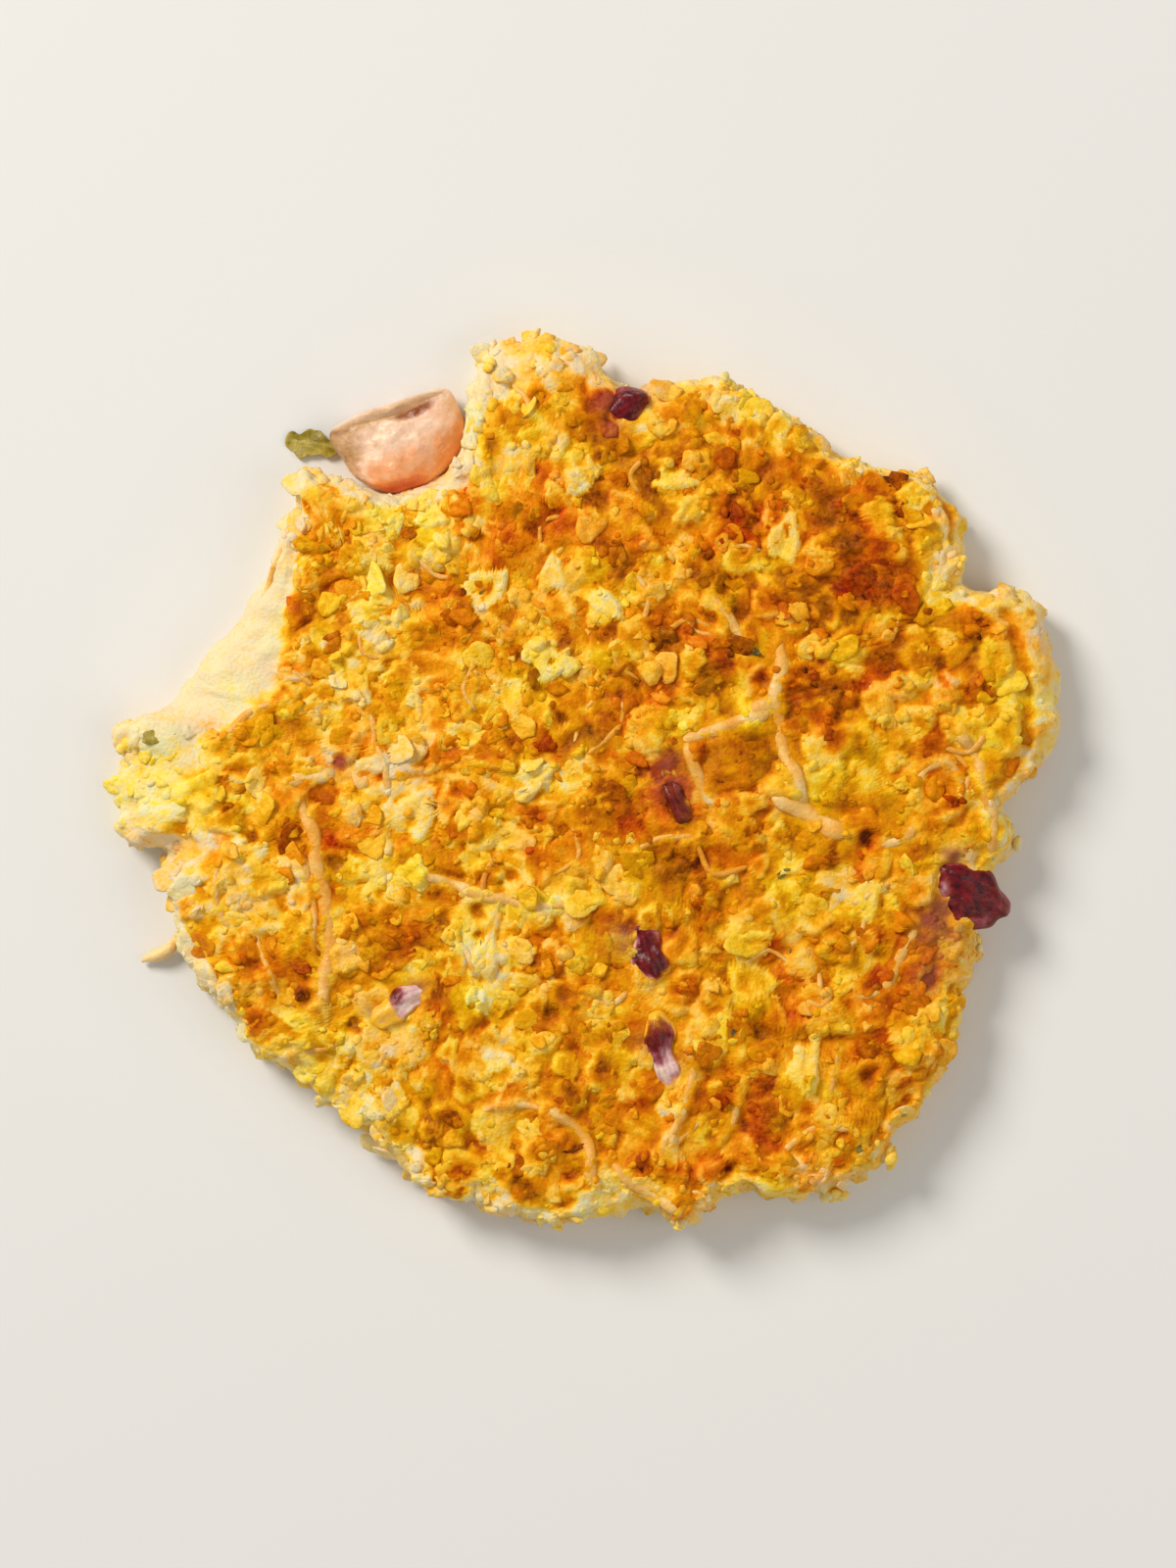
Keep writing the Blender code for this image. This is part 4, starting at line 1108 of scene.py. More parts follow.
def clear_of_pieces(x, y, margin):
    """True where nothing of this margin in mm would cover a vegetable piece."""
    x, y = (x - SHIFT[0]) / MM, (y - SHIFT[1]) / MM
    for _, (piece_x, piece_y), heading, (length, width, _), _, _ in ONION_PIECES:
        along, across = turned(x - piece_x, y - piece_y, heading)
        if abs(along) < length / 2 + margin and abs(across) < width / 2 + margin:
            return False
    return math.hypot(x - TOMATO_PLACE.x / MM, y - TOMATO_PLACE.y / MM) > TOMATO_REACH + margin


def flake_shape(seed, segments, rings, crease, breaks):
    """One flake modelled from a sphere: flat, uneven, cupped and creased, with this many broken edges."""
    deselect()
    bpy.ops.mesh.primitive_uv_sphere_add(segments=segments, ring_count=rings, radius=0.5)
    flake = take_added("flake_shape")
    draw = random.Random(seed)
    phases = [draw.uniform(0, math.tau) for _ in range(4)]
    points = read_points(flake)
    turn = np.arctan2(points[:, 1], points[:, 0])
    uneven = 1 + 0.12 * np.sin(2 * turn + phases[0]) + 0.10 * np.sin(3 * turn + phases[1])
    uneven = uneven + 0.06 * np.sin(5 * turn + phases[2])
    dent = np.exp(-((np.sin((turn - phases[3]) / 2) / 0.25) ** 2))
    uneven = uneven * (1 - draw.uniform(0.0, 0.35) * dent)
    points[:, 0] *= uneven
    points[:, 1] *= uneven * 0.76
    for _ in range(breaks):
        way = draw.uniform(0, math.tau)
        over = points[:, 0] * math.cos(way) + points[:, 1] * math.sin(way) - draw.uniform(0.16, 0.34)
        points[:, 0] -= np.maximum(over, 0) * 0.9 * math.cos(way)
        points[:, 1] -= np.maximum(over, 0) * 0.9 * math.sin(way)
    across = points[:, 1]
    away = np.hypot(points[:, 0], points[:, 1])
    points[:, 2] *= 0.22
    points[:, 2] += 0.35 * away**2 * draw.uniform(-0.5, 1.0)
    points[:, 2] -= crease * np.exp(-((across / 0.06) ** 2)) * (points[:, 2] > 0)
    points[:, 2] += (0.05 + 0.03 * breaks) * rough(points, 0.24, seed)
    faces = []
    for face in flake.data.polygons:
        corners = list(face.vertices)
        faces.append((corners[0], corners[1], corners[2]))
        if len(corners) == 4:
            faces.append((corners[0], corners[2], corners[3]))
    bpy.data.objects.remove(flake)
    return points, np.array(faces), away / 0.5


def crumb_shape(seed):
    """One crumb: a small knobbly lump modelled from an icosphere."""
    deselect()
    bpy.ops.mesh.primitive_ico_sphere_add(subdivisions=2, radius=0.5)
    crumb = take_added("crumb_shape")
    points = read_points(crumb)
    points *= (1 + 0.35 * rough(points, 0.45, seed))[:, None]
    points[:, 2] *= 0.7
    faces = np.array([tuple(face.vertices) for face in crumb.data.polygons])
    bpy.data.objects.remove(crumb)
    return points, faces, np.zeros(len(points))


def join_copies(name, shapes, placed):
    """Copies of shapes, joined. Each placing is (shape number, matrix, toast, hue, juice, rim's toast)."""
    parts = []
    for number, matrix, toast, hue, juice, rim in placed:
        shape, corners, away = shapes[number]
        turn = np.array(matrix)
        toasts = toast + rim * smooth(0.5, 0.95, away)
        values = {"toast": toasts, "hue": np.full(len(shape), hue), "juice": np.full(len(shape), juice)}
        parts.append((shape @ turn[:3, :3].T + turn[:3, 3], corners, values))
    return join_parts(name, parts)


def lie_on(place, normal, spin, size, lean_x, lean_y):
    """A matrix that lays a shape on the skin with a spin and a lean."""
    turn = Vector((0, 0, 1)).rotation_difference(normal).to_matrix().to_4x4()
    lean = Matrix.Rotation(lean_x, 4, "X") @ Matrix.Rotation(lean_y, 4, "Y")
    laid = Matrix.Translation(place) @ turn @ lean @ Matrix.Rotation(spin, 4, "Z")
    return laid @ Matrix.Diagonal((*size, 1))


def browned_like(hit, tone, lean):
    """Toast, hue and juice of a bit that lies at a hit, browner by this tone and leaning by this much."""
    toast, hue, juice = hit[2:]
    return max(min(toast, PALEST_BIT), toast + tone), hue + lean, juice


def random_spot(skin, draw, side_share, low, high):
    """A random place on the skin: on the side for this share of the calls, between these heights in mm.

    None where the skin is bare, or the ray meets no skin.
    """
    angle = draw.uniform(0, 360)
    on_side = draw.random() < side_share
    height, share = draw.uniform(low, high) * MM, math.sqrt(draw.uniform(0, 0.98))
    radius = float(outer_radius(angle)) * share
    if on_side or radius > float(crust_radius(angle)) - 1 * MM:
        soft = [flatter for centre, half_width, flatter in SOFT_LOBES if abs(angle - centre) < half_width]
        if abs(angle - BARE_BAND[0]) < BARE_BAND[1] or draw.random() < 1.5 * sum(soft):
            return None
    if on_side:
        return skin.from_side(angle, height)
    x, y = polar(radius, angle)
    return skin.from_above(x + SHIFT[0], y + SHIFT[1])


def scatter_flakes(skin):
    """Flakes that stand free of the batter at one edge, on the face and out of the side."""
    draw = random.Random(21)
    shapes = [flake_shape(seed, segments=18, rings=8, crease=0.05, breaks=seed % 2) for seed in range(8)]
    placed = []
    while len(placed) < sizes().raised_flakes:
        hit = random_spot(skin, draw, side_share=0.3, low=2.5, high=9.5)
        length = sizes().flake_length * draw.uniform(0.5, 1.0)
        spin, lean_x, lean_y = draw.uniform(0, math.tau), draw.gauss(0, 0.2), draw.gauss(0, 0.2)
        tone = draw.choice((-0.16, -0.08, -0.04, 0.0, 0.06, 0.10))
        if hit is None or not clear_of_pieces(hit[0].x, hit[0].y, length / MM / 2):
            continue
        soft = (hit[1] + Vector((0, 0, 0.9))).normalized()
        size = (length, length * draw.uniform(0.85, 1.1), length * 0.75)
        matrix = lie_on(hit[0] - soft * draw.uniform(0, 0.35) * MM, soft, spin, size, lean_x, lean_y)
        shown = browned_like(hit, tone, draw.uniform(-0.5, 0.5))
        placed.append((draw.randrange(len(shapes)), matrix, *shown, draw.uniform(-0.08, 0.06)))
    finish_piece(join_copies("oat_flakes", shapes, placed))


def hides_marked(x, y, strands):
    """True where a bit would hide one of the marked shreds, flakes or pits."""
    x, y = x - SHIFT[0], y - SHIFT[1]
    if np.min(np.hypot(strands[:, 0] - x, strands[:, 1] - y) / strands[:, 2]) < 1.1:
        return True
    for middle_x, middle_y, length, width, _, _, _ in MARKED_FLAKES:
        if math.hypot(x / MM - middle_x, y / MM - middle_y) < (length + width) * 0.2:
            return True
    return any(math.hypot(x / MM - pit_x, y / MM - pit_y) < radius + 1 for pit_x, pit_y, radius, _ in PITS)


def scatter_bits(skin):
    """Broken bits of flake sunk in the batter all over, so that it is as lumpy as oats make it."""
    draw = random.Random(27)
    shapes = [flake_shape(seed, segments=10, rings=6, crease=0.0, breaks=3) for seed in range(50, 62)]
    strands = strand_places()
    placed = []
    while len(placed) < sizes().bits:
        hit = random_spot(skin, draw, side_share=0.22, low=1.5, high=10.0)
        length = sizes().bit_length * draw.choice((0.6, 0.75, 0.9, 1.1, 1.4, 1.7)) * draw.uniform(0.9, 1.1)
        lean_x, lean_y, spin = draw.uniform(-0.4, 0.4), draw.uniform(-0.4, 0.4), draw.uniform(0, math.tau)
        tone, rim = draw.uniform(-0.22, 0.12), draw.uniform(0.0, 0.14)
        if hit is None or not clear_of_pieces(hit[0].x, hit[0].y, length / MM / 2 - BIT_OVERLAP):
            continue
        if hides_marked(hit[0].x, hit[0].y, strands):
            continue
        soft = (hit[1] + Vector((0, 0, 0.4))).normalized()
        size = (length * 1.15, length * draw.uniform(0.8, 1.5), length * draw.uniform(1.2, 2.0))
        matrix = lie_on(hit[0] - soft * length * draw.uniform(0.08, 0.2), soft, spin, size, lean_x, lean_y)
        shown = browned_like(hit, tone, draw.uniform(-0.6, 0.6))
        placed.append((draw.randrange(len(shapes)), matrix, *shown, rim))
    finish_piece(join_copies("flake_bits", shapes, placed))


def scatter_crumbs(skin):
    """Crumbs all over, more of them on the side, and the lumps that stand out of the edge."""
    draw = random.Random(33)
    shapes = [crumb_shape(seed) for seed in range(6)]
    placed = []
    while len(placed) < sizes().crumbs:
        hit = random_spot(skin, draw, side_share=0.4, low=0.8, high=10.0)
        size = sizes().crumb_size * draw.uniform(0.45, 1.5)
        if hit is None or not clear_of_pieces(hit[0].x, hit[0].y, size / MM / 2):
            continue
        place, normal = hit[:2]
        shape = (size, size * draw.uniform(0.6, 1.0), size * draw.uniform(0.6, 1.0))
        lean = draw.uniform(-0.4, 0.4)
        matrix = lie_on(place - normal * size * 0.15, normal, draw.uniform(0, math.tau), shape, lean, lean)
        shown = browned_like(hit, draw.uniform(-0.2, 0.16), draw.uniform(-0.6, 0.6))
        placed.append((draw.randrange(len(shapes)), matrix, *shown, 0.0))
    for x, y, height, size, toast in EDGE_CRUMBS:
        hit = skin.from_side(math.degrees(math.atan2(y, x)), height * MM)
        if hit is None:
            continue
        for _ in range(CRUMBS_IN_LUMP):
            offset = Vector([draw.uniform(-0.4, 0.4) for _ in range(3)]) * size * MM
            shape = Vector([draw.uniform(0.4, 0.75) for _ in range(3)]) * size * MM
            matrix = lie_on(hit[0] + offset, hit[1], draw.uniform(0, math.tau), shape, 0, 0)
            number = draw.randrange(len(shapes))
            placed.append((number, matrix, toast + draw.uniform(-0.05, 0.12), -0.8, 0.0, 0.0))
    finish_piece(join_copies("batter_crumbs", shapes, placed))


def smooth_path(points, spacing):
    """Points about this far apart on a Catmull-Rom curve through the given ones."""
    ends = [points[0] * 2 - points[1], *points, points[-1] * 2 - points[-2]]
    path = []
    for before, start, end, after in zip(ends, ends[1:], ends[2:], ends[3:]):
        steps = max(1, round((end - start).length / spacing))
        for step in range(steps):
            t = step / steps
            bend = (2 * before - 5 * start + 4 * end - after) * t**2
            twist = (3 * start - before - 3 * end + after) * t**3
            path.append(0.5 * (2 * start + (end - before) * t + bend + twist))
    return [*path, points[-1]]


def strip(path, width, thickness, draw):
    """One shred: points of an uneven oval strip along a path, its faces, and how far up each point lies."""
    rings, ups = [], []
    phase = draw.uniform(0, math.tau)
    for number, point in enumerate(path):
        ahead = path[min(number + 1, len(path) - 1)] - path[max(number - 1, 0)]
        across = Vector((-ahead.y, ahead.x, 0.0)).normalized()
        share = number / (len(path) - 1)
        taper = 0.4 + 0.6 * min(1.0, 8 * share, 8 * (1 - share))
        taper *= 1 + 0.09 * math.sin(number * 0.8 + phase)
        sway = across * 0.2 * MM * math.sin(number * 0.5 + 2 * phase)
        for side in range(SHRED_SIDES):
            turn = math.tau * side / SHRED_SIDES
            offset = across * (math.cos(turn) * width / 2) + Vector((0, 0, math.sin(turn) * thickness / 2))
            rings.append(point + sway + offset * taper)
            ups.append(max(0.0, math.sin(turn)))
    faces = []
    last = (len(path) - 1) * SHRED_SIDES
    for ring in range(0, last, SHRED_SIDES):
        for side in range(SHRED_SIDES):
            a, b = ring + side, ring + (side + 1) % SHRED_SIDES
            faces += [(a, b, b + SHRED_SIDES), (a, b + SHRED_SIDES, a + SHRED_SIDES)]
    for side in range(1, SHRED_SIDES - 1):
        faces += [(0, side + 1, side), (last, last + side, last + side + 1)]
    return np.array([tuple(point) for point in rings]), np.array(faces), np.array(ups)


def shred_runs(skin):
    """Width, thickness, path, toast and depth of each shred: the marked ones, then random ones."""
    draw = random.Random(44)
    runs = []
    for width, thickness, toast, places in SHREDS:
        path = marked_path(places, 0.6 * MM, SHIFT)
        runs.append((width * MM, thickness * MM, path, toast, 0.5 * MM))
    while len(runs) < len(SHREDS) + sizes().shreds:
        angle, share = draw.uniform(0, 360), math.sqrt(draw.uniform(0, 0.94))
        x, y = polar(float(crust_radius(angle)) * share, angle)
        place = Vector((x + SHIFT[0], y + SHIFT[1], 0))
        heading, bend = draw.uniform(0, math.tau), draw.uniform(-0.7, 0.7)
        length = draw.uniform(3.5, 9) * MM
        step = Vector((math.cos(heading), math.sin(heading), 0)) * length / 2
        side = Vector((-step.y, step.x, 0)) * bend
        width = draw.uniform(0.6, 1.0) * MM
        hit = skin.from_above(place.x, place.y)
        if hit and clear_of_pieces(place.x, place.y, length / MM / 2):
            path = smooth_path([place - step, place + side, place + step], 0.8 * MM)
            toast = min(0.6, max(0.26, hit[2] - draw.uniform(0.0, 0.2)))
            runs.append((width, width * 0.8, path, toast, draw.uniform(0.2, 0.45) * MM))
    return runs


def lay_shreds(skin):
    """The grated shreds: the ones that show, many short ones, and the hook at the left edge."""
    soft_shred()
    draw = random.Random(45)
    parts = []
    hook = [Vector(point) * MM + Vector((*SHIFT, 0)) for point in HOOK_POINTS]
    whole = [(HOOK_WIDTH, HOOK_WIDTH, smooth_path(hook, 0.8 * MM), 0.08, None)]
    for width, thickness, path, toast, depth in shred_runs(skin) + whole:
        around = np.full(len(path), toast)
        if depth is not None:
            hits = [skin.from_above(point.x, point.y) for point in path]
            heights = np.pad([hit[0].z if hit else THICKNESS for hit in hits], 3, mode="edge")
            heights = np.maximum(np.maximum(heights[:-2], heights[1:-1]), heights[2:])
            heights = np.convolve(heights, (0.1, 0.2, 0.4, 0.2, 0.1), mode="valid")
            path = [Vector((point.x, point.y, height - depth)) for point, height in zip(path, heights)]
            around = np.array([hit[2] if hit else toast for hit in hits])
        shape, corners, ups = strip(path, width, thickness, draw)
        blend = 0.2 + 0.6 * (1 - smooth(0.2, 1.0, ups))
        toasts = toast + (np.repeat(around, SHRED_SIDES) - toast) * blend
        parts.append((shape, corners, {"toast": toasts + 0.25 * rough(shape, 3 * MM, 15)}))
    finish_piece(join_parts("grated_shreds", parts), "cooked_shred")


def chop_herbs(skin):
    """Flecks of chopped herb stuck in the face, as one piece."""
    draw = random.Random(55)
    shapes = [flake_shape(seed, segments=18, rings=8, crease=0.05, breaks=0) for seed in (31, 32, 33)]
    placed = []
    for x, y, length, heading in HERB_FLECKS:
        hit = skin.from_above(x * MM + SHIFT[0], y * MM + SHIFT[1])
        soft = (hit[1] + Vector((0, 0, 1))).normalized()
        size = (length * MM, length * MM * 0.7, 1.0 * MM)
        sunk = hit[0] - soft * 0.12 * MM
        matrix = lie_on(sunk, soft, math.radians(heading), size, draw.gauss(0, 0.15), draw.gauss(0, 0.15))
        placed.append((draw.randrange(3), matrix, 0.4 + 0.6 * hit[2], 0.0, 0.0, 0.0))
    finish_piece(join_copies("herb_flecks", shapes, placed), "wilted_herb")


# The vegetable pieces.


def set_down(points, heading, place, height):
    """Turns points about the vertical and moves them to their place, this high."""
    turn = np.array(Matrix.Rotation(math.radians(heading), 3, "Z"))
    return points @ turn.T + np.array(place) + np.array((*SHIFT, height))


def slice_onion(piece, seed):
    """A curved chunk of onion: a bevelled cube, bent, with an uneven outline and a dark skin in part."""
    name, _, _, size, _, _ = piece
    length, width, thickness = (side * MM for side in size)
    deselect()
    bpy.ops.mesh.primitive_cube_add(size=1)
    onion = take_added(f"{name}_chunk")
    onion.dimensions = (length, width, thickness)
    bpy.ops.object.transform_apply(location=True, rotation=True, scale=True)
    bpy.ops.object.mode_set(mode="EDIT")
    bpy.ops.mesh.select_all(action="SELECT")
    bpy.ops.mesh.bevel(offset=thickness * 0.42, segments=3, affect="EDGES")
    bpy.ops.mesh.select_all(action="SELECT")
    bpy.ops.mesh.subdivide(number_cuts=3)
    bpy.ops.object.mode_set(mode="OBJECT")
    bpy.ops.object.modifier_add(type="SUBSURF")
    onion.modifiers[0].levels = onion.modifiers[0].render_levels = 2
    bpy.ops.object.modifier_apply(modifier=onion.modifiers[0].name)
    points = read_points(onion)
    u, v = points[:, 0] * 2 / length, points[:, 1] * 2 / width
    middle_u, middle_v, reach_u, reach_v, margin_coat, whole_coat, bare_u, bare_reach = ONION_SKINS[name]
    away = np.hypot((u - middle_u) / reach_u, (v - middle_v) / reach_v)
    patchy = mixed_noise(points, ((2.4, 0.5), (1.1, 0.25)), seed + 9)
    flesh = smooth(0.5, 1.4, away + patchy) + 0.08 * np.sin(v * 17 + 3 * rough(points, 3 * MM, seed + 3))
    upper = smooth(-0.1, 0.3, points[:, 2] / thickness)
    flesh = flesh * upper + smooth(0.2, 0.6, away) * 0.8 * (1 - upper)
    covered = ((abs(u - bare_u) / bare_reach) ** 3 + abs(v) ** 3) ** (1 / 3)
    margin = smooth(0.62, 1.1, covered + 0.8 * patchy)
    ridge = 0.14 * MM * np.sin(v * 5 + 1.5 * rough(points, 3 * MM, seed + 5))
    dome = 0.22 * thickness * (1 - np.clip(u * u + v * v, 0, 1.6))
    points[:, 2] += (0.5 * MM * rough(points, 2.4 * MM, seed) + ridge + dome - 0.1 * thickness) * upper
    points[:, 1] *= 1 - 0.16 * abs(u) ** 2 + 0.42 * rough(points * (1, 1, 0), 3 * MM, seed + 40)
    points[:, 0] *= 1 - 0.12 * abs(v) ** 2 + 0.28 * rough(points * (1, 1, 0), 2.4 * MM, seed + 60)
    bend = length / math.radians(ONION_BEND)
    turn, radius = points[:, 0] / bend, bend + points[:, 1]
    points[:, 0], points[:, 1] = radius * np.sin(turn), radius * np.cos(turn) - bend
    place = np.array(onion_frame(piece))
    points = points @ place[:3, :3].T + place[:3, 3]
    points[:, :2] += SHIFT
    write_points(onion, points)
    write_values(onion, "flesh", 0.1 + 0.8 * flesh)
    write_values(onion, "coat", whole_coat + margin_coat * margin)
    finish_piece(onion, "cooked_red_onion", name)


def chop_tomato():
    """The tomato: a sphere squeezed to a wedge, cut flat on one side and at its foot, then softened."""
    wet_tomato()
    deselect()
    bpy.ops.mesh.primitive_uv_sphere_add(segments=112, ring_count=64, radius=0.5)
    tomato = take_added("tomato_wedge")
    points = read_points(tomato) * np.array(TOMATO_SIZE)
    u, v = points[:, 0] * 2 / TOMATO_SIZE.x, points[:, 1] * 2 / TOMATO_SIZE.y
    corner = smooth(-0.1, 0.5, v) * smooth(0.1, 0.8, abs(u))
    points[:, 0] *= 1 + np.where(u > 0, 0.10, 0.16) * corner
    points[:, 1] *= 1 + 0.2 * corner
    normal = np.array(Vector(TOMATO_CUT_FACING).normalized())
    cut = points @ normal - TOMATO_SIZE.y / 2 * WEDGE_CUT * normal[1]
    soft_cut = (cut + np.sqrt(cut**2 + (0.9 * MM) ** 2)) / 2
    points = points - soft_cut[:, None] * normal * 0.96
    u, v = points[:, 0] * 2 / TOMATO_SIZE.x, points[:, 1] * 2 / TOMATO_SIZE.y
    skin = 0.27 + 0.14 * smooth(0.2, 0.9, u) + 0.20 * smooth(0.0, -0.5, v)
    skin = skin + 0.34 * smooth(-0.55, -0.88, v) * smooth(0.3, -0.2, u) - 0.16 * smooth(-0.5, -0.9, u)
    cut_share = smooth(-0.2 * MM, 0.5 * MM, cut)
    seam = np.exp(-(((cut + 0.3 * MM) / (0.35 * MM)) ** 2))
    facet = 0.10 * smooth(-0.2, -0.8, u) + 0.08 * smooth(0.3, 0.9, u)
    facet = facet + 0.24 * smooth(3.6 * MM, -2.4 * MM, points[:, 2])
    skin = skin + (facet - skin) * cut_share - 0.12 * seam
    along, across = points[:, 0] / MM - BRUISE_PLACE[0], points[:, 1] / MM - BRUISE_PLACE[1]
    bruise = 1 - smooth(0.55, 1.15, np.hypot(along / 3.3, across / 1.25))
    lumps = mixed_noise(points, ((6, 1.0), (2.6, 0.45), (1.2, 0.2)), 61) * MM
    points[:, 2] += (lumps - 0.3 * MM * bruise) * smooth(-1 * MM, 1 * MM, points[:, 2])
    points[:, :2] *= (1 + 0.08 * rough(points, 6 * MM, 66))[:, None]
    foot = TOMATO_SIZE.z / 2 * TOMATO_FOOT
    points[:, 2] = np.maximum(points[:, 2], -foot)
    write_points(tomato, set_down(points, WEDGE_HEADING, TOMATO_PLACE, foot))
    write_values(tomato, "skin", skin)
    write_values(tomato, "bruise", bruise * (1 - cut_share))
    finish_piece(tomato, "cooked_tomato", "tomato_piece")


def wilt_leaf():
    """The herb leaf: a grid cut to a ragged outline, crumpled, and given its thickness."""
    deselect()
    bpy.ops.mesh.primitive_grid_add(x_subdivisions=44, y_subdivisions=28, size=1)
    leaf = take_added("wilted_leaf")
    points = read_points(leaf)
    along, across = points[:, 0] + 0.5, points[:, 1] * 2
    half = LEAF_SIZE.y / 2 * (0.25 + np.sin(math.pi * along**0.8) ** 0.6 * 0.8)
    half = half * (1 + 0.22 * np.sin(along * 11 + 2 * across) + 0.1 * np.sin(along * 23 - across))
    flat = np.stack(((along - 0.5) * LEAF_SIZE.x, across * half, np.zeros(len(along))), 1)
    crumple = (0.5 + mixed_noise(flat, ((4, 0.9), (1.6, 0.35)), 90)) * LEAF_WAVE
    vein = 0.1 * MM * np.exp(-((across / 0.12) ** 2))
    points = flat + np.stack((0 * along, 0 * along, crumple + vein + 0.15 * MM), 1)
    write_points(leaf, set_down(points, LEAF_HEADING, LEAF_PLACE, 0))
    bpy.ops.object.modifier_add(type="SOLIDIFY")
    leaf.modifiers[0].thickness = 0.45 * MM
    leaf.modifiers[0].offset = 1.0
    bpy.ops.object.modifier_apply(modifier=leaf.modifiers[0].name)
    points = read_points(leaf)
    write_values(leaf, "toast", 0.32 + 0.10 * (points[:, 1] - LEAF_PLACE.y) / MM)
    points[:, 2] = np.maximum(points[:, 2], 0)
    write_points(leaf, points)
    finish_piece(leaf, "wilted_herb", "herb_leaf")


def add_lamp(name, place, size, power):
    """A round lamp that faces the pancake."""
    deselect()
    bpy.ops.object.light_add(type="AREA", location=place)
    light = bpy.context.object
    light.name = name
    light.data.shape = "DISK"
    light.data.size = size
    light.data.energy = power
    light.data.color = hex_colour(LAMP_COLOUR)[:3]
    light.rotation_euler = (-Vector(place)).to_track_quat("-Z", "Y").to_euler()


def set_stage():
    """Floor, soft light from the upper left, and the camera straight above as in the photo."""
    deselect()
    bpy.ops.mesh.primitive_plane_add(size=4)
    floor = take_added("floor")
    painted_board()
    floor.data.materials.append(bpy.data.materials["painted_board"])
    for lamp in LAMPS:
        add_lamp(*lamp)
    world = bpy.data.worlds.new("soft_room")
    bpy.context.scene.world = world
    world.use_nodes = True
    background = world.node_tree.nodes["Background"]
    background.inputs["Color"].default_value = hex_colour(ROOM_COLOUR)
    background.inputs["Strength"].default_value = ROOM_STRENGTH
    bpy.ops.object.camera_add(location=(0, 0, sizes().camera_height), rotation=(0, 0, 0))
    camera = bpy.context.object
    camera.name = "camera"
    camera.data.sensor_fit = "HORIZONTAL"
    camera.data.sensor_width = SENSOR_WIDTH
    camera.data.lens = SENSOR_WIDTH * (sizes().camera_height - PICTURE_LEVEL) / PICTURE_WIDTH
    camera.data.clip_start = 0.01
    bpy.context.scene.camera = camera
    bpy.context.scene.view_settings.view_transform = "Standard"


def batter_skin():
    if "fried_batter" not in bpy.data.objects:
        raise RuntimeError("Fry the batter first: the other pieces lie on it")
    return Skin(bpy.data.objects["fried_batter"])


class PANCAKE_OT_batter(bpy.types.Operator):
    """Fry the batter: the whole body with its flaky, pitted face and flat underside"""

    bl_idname = "pancake.batter"
    bl_label = "Batter"

    def execute(self, context):
        fry_batter()
        return {"FINISHED"}


class PANCAKE_OT_flakes(bpy.types.Operator):
    """Scatter raised oat flakes over the face and the side"""

    bl_idname = "pancake.flakes"
    bl_label = "Oat flakes"

    def execute(self, context):
        scatter_flakes(batter_skin())
        return {"FINISHED"}


class PANCAKE_OT_bits(bpy.types.Operator):
    """Scatter broken bits of flake over the batter"""

    bl_idname = "pancake.bits"
    bl_label = "Flake bits"

    def execute(self, context):
        scatter_bits(batter_skin())
        return {"FINISHED"}


class PANCAKE_OT_crumbs(bpy.types.Operator):
    """Scatter crumbs over the batter and along its edge"""

    bl_idname = "pancake.crumbs"
    bl_label = "Crumbs"

    def execute(self, context):
        scatter_crumbs(batter_skin())
        return {"FINISHED"}


class PANCAKE_OT_shreds(bpy.types.Operator):
    """Lay the grated shreds on the face"""

    bl_idname = "pancake.shreds"
    bl_label = "Shreds"

    def execute(self, context):
        lay_shreds(batter_skin())
        return {"FINISHED"}


class PANCAKE_OT_herbs(bpy.types.Operator):
    """Add the wilted leaf and the flecks of chopped herb"""

    bl_idname = "pancake.herbs"
    bl_label = "Herbs"

    def execute(self, context):
        wilted_herb()
        wilt_leaf()
        chop_herbs(batter_skin())
        return {"FINISHED"}


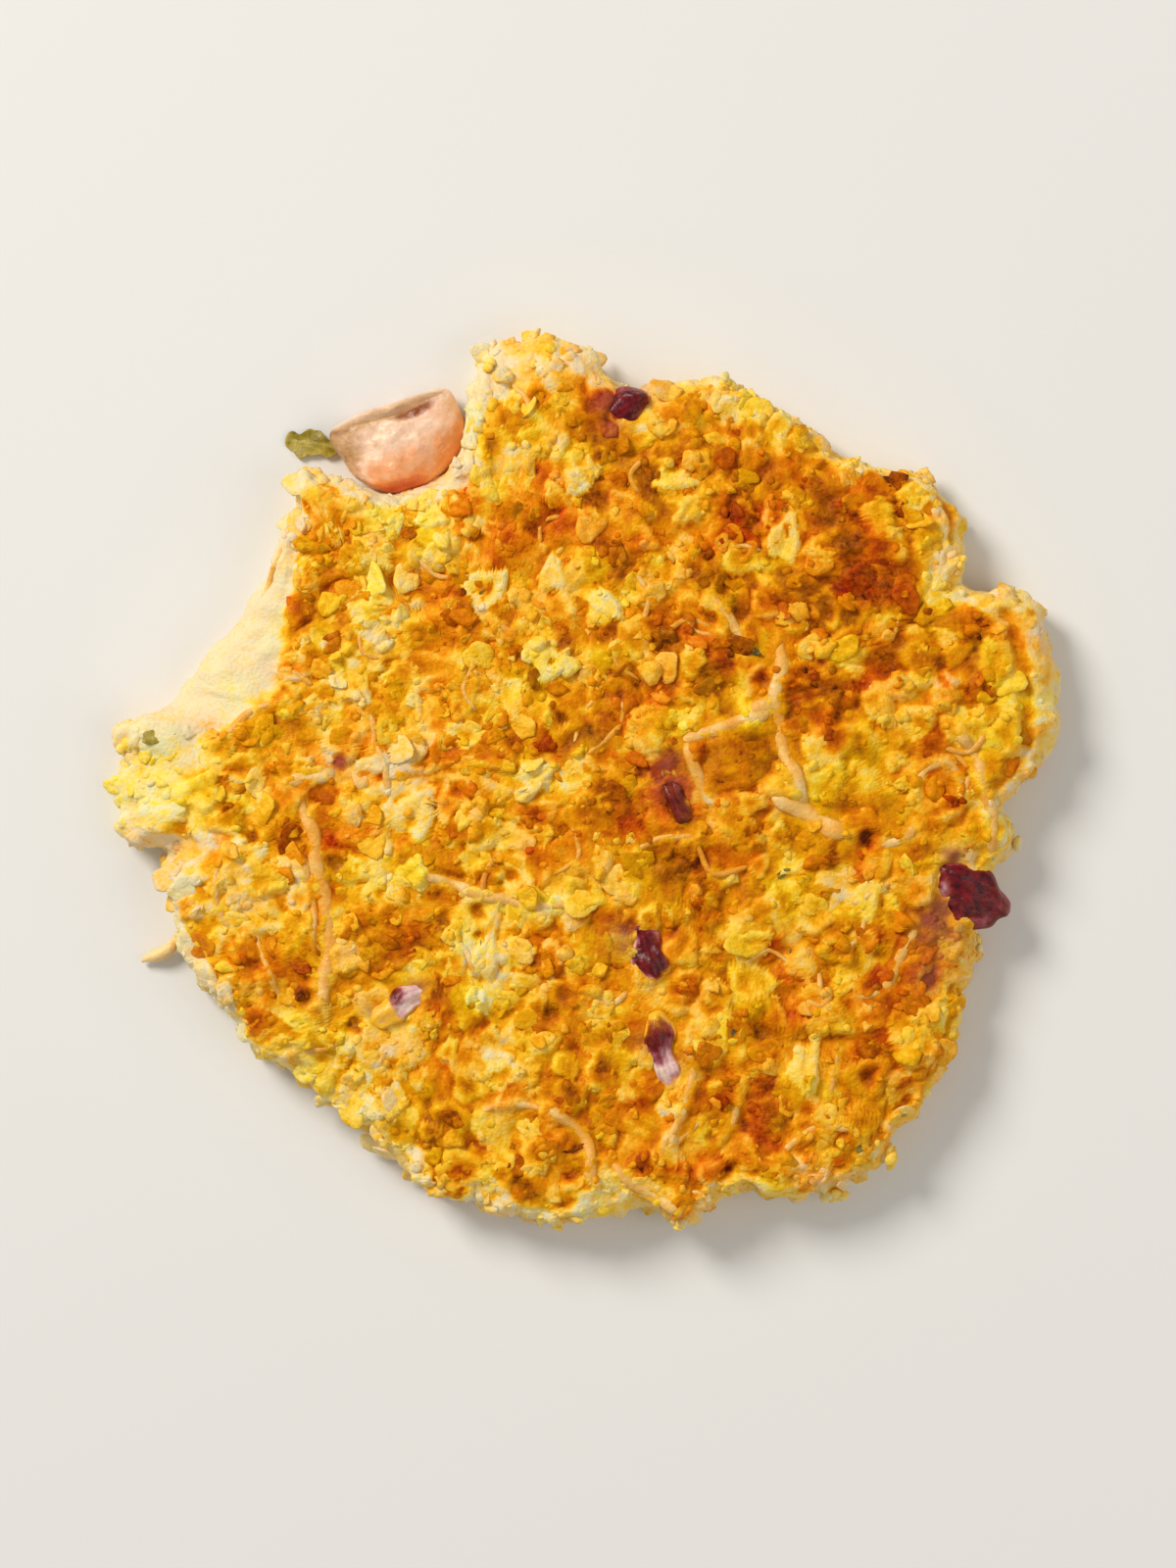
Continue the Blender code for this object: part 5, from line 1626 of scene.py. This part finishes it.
class PANCAKE_OT_onion(bpy.types.Operator):
    """Slice the red onion pieces"""

    bl_idname = "pancake.onion"
    bl_label = "Red onion"

    def execute(self, context):
        onion_layers()
        for number, piece in enumerate(ONION_PIECES):
            slice_onion(piece, 70 + number)
        return {"FINISHED"}


class PANCAKE_OT_tomato(bpy.types.Operator):
    """Chop the tomato piece"""

    bl_idname = "pancake.tomato"
    bl_label = "Tomato"

    def execute(self, context):
        chop_tomato()
        return {"FINISHED"}


class PANCAKE_OT_stage(bpy.types.Operator):
    """Set the floor, the lights and the camera"""

    bl_idname = "pancake.stage"
    bl_label = "Stage"

    def execute(self, context):
        set_stage()
        return {"FINISHED"}


OPERATORS = (
    PANCAKE_OT_batter,
    PANCAKE_OT_flakes,
    PANCAKE_OT_bits,
    PANCAKE_OT_crumbs,
    PANCAKE_OT_shreds,
    PANCAKE_OT_herbs,
    PANCAKE_OT_onion,
    PANCAKE_OT_tomato,
    PANCAKE_OT_stage,
)


class PANCAKE_PT_panel(bpy.types.Panel):
    """Lists the sizes, the colours and the steps"""

    bl_idname = "PANCAKE_PT_panel"
    bl_label = "Oat pancake"
    bl_space_type = "VIEW_3D"
    bl_region_type = "UI"
    bl_category = "Pancake"

    def draw(self, context):
        for group in (context.scene.pancake_sizes, context.scene.pancake_colours):
            box = self.layout.box()
            for name in group.__annotations__:
                box.prop(group, name)
        for operator in OPERATORS:
            self.layout.operator(operator.bl_idname)


CLASSES = (PancakeSizes, PancakeColours, *OPERATORS, PANCAKE_PT_panel)


def register():
    for cls in CLASSES:
        bpy.utils.register_class(cls)
    bpy.types.Scene.pancake_sizes = PointerProperty(type=PancakeSizes)
    bpy.types.Scene.pancake_colours = PointerProperty(type=PancakeColours)


def unregister():
    del bpy.types.Scene.pancake_colours
    del bpy.types.Scene.pancake_sizes
    for cls in reversed(CLASSES):
        bpy.utils.unregister_class(cls)


def main():
    register()
    bpy.ops.pancake.batter()
    bpy.ops.pancake.flakes()
    bpy.ops.pancake.bits()
    bpy.ops.pancake.crumbs()
    bpy.ops.pancake.shreds()
    bpy.ops.pancake.herbs()
    bpy.ops.pancake.onion()
    bpy.ops.pancake.tomato()
    bpy.ops.pancake.stage()


if __name__ == "__main__":
    main()
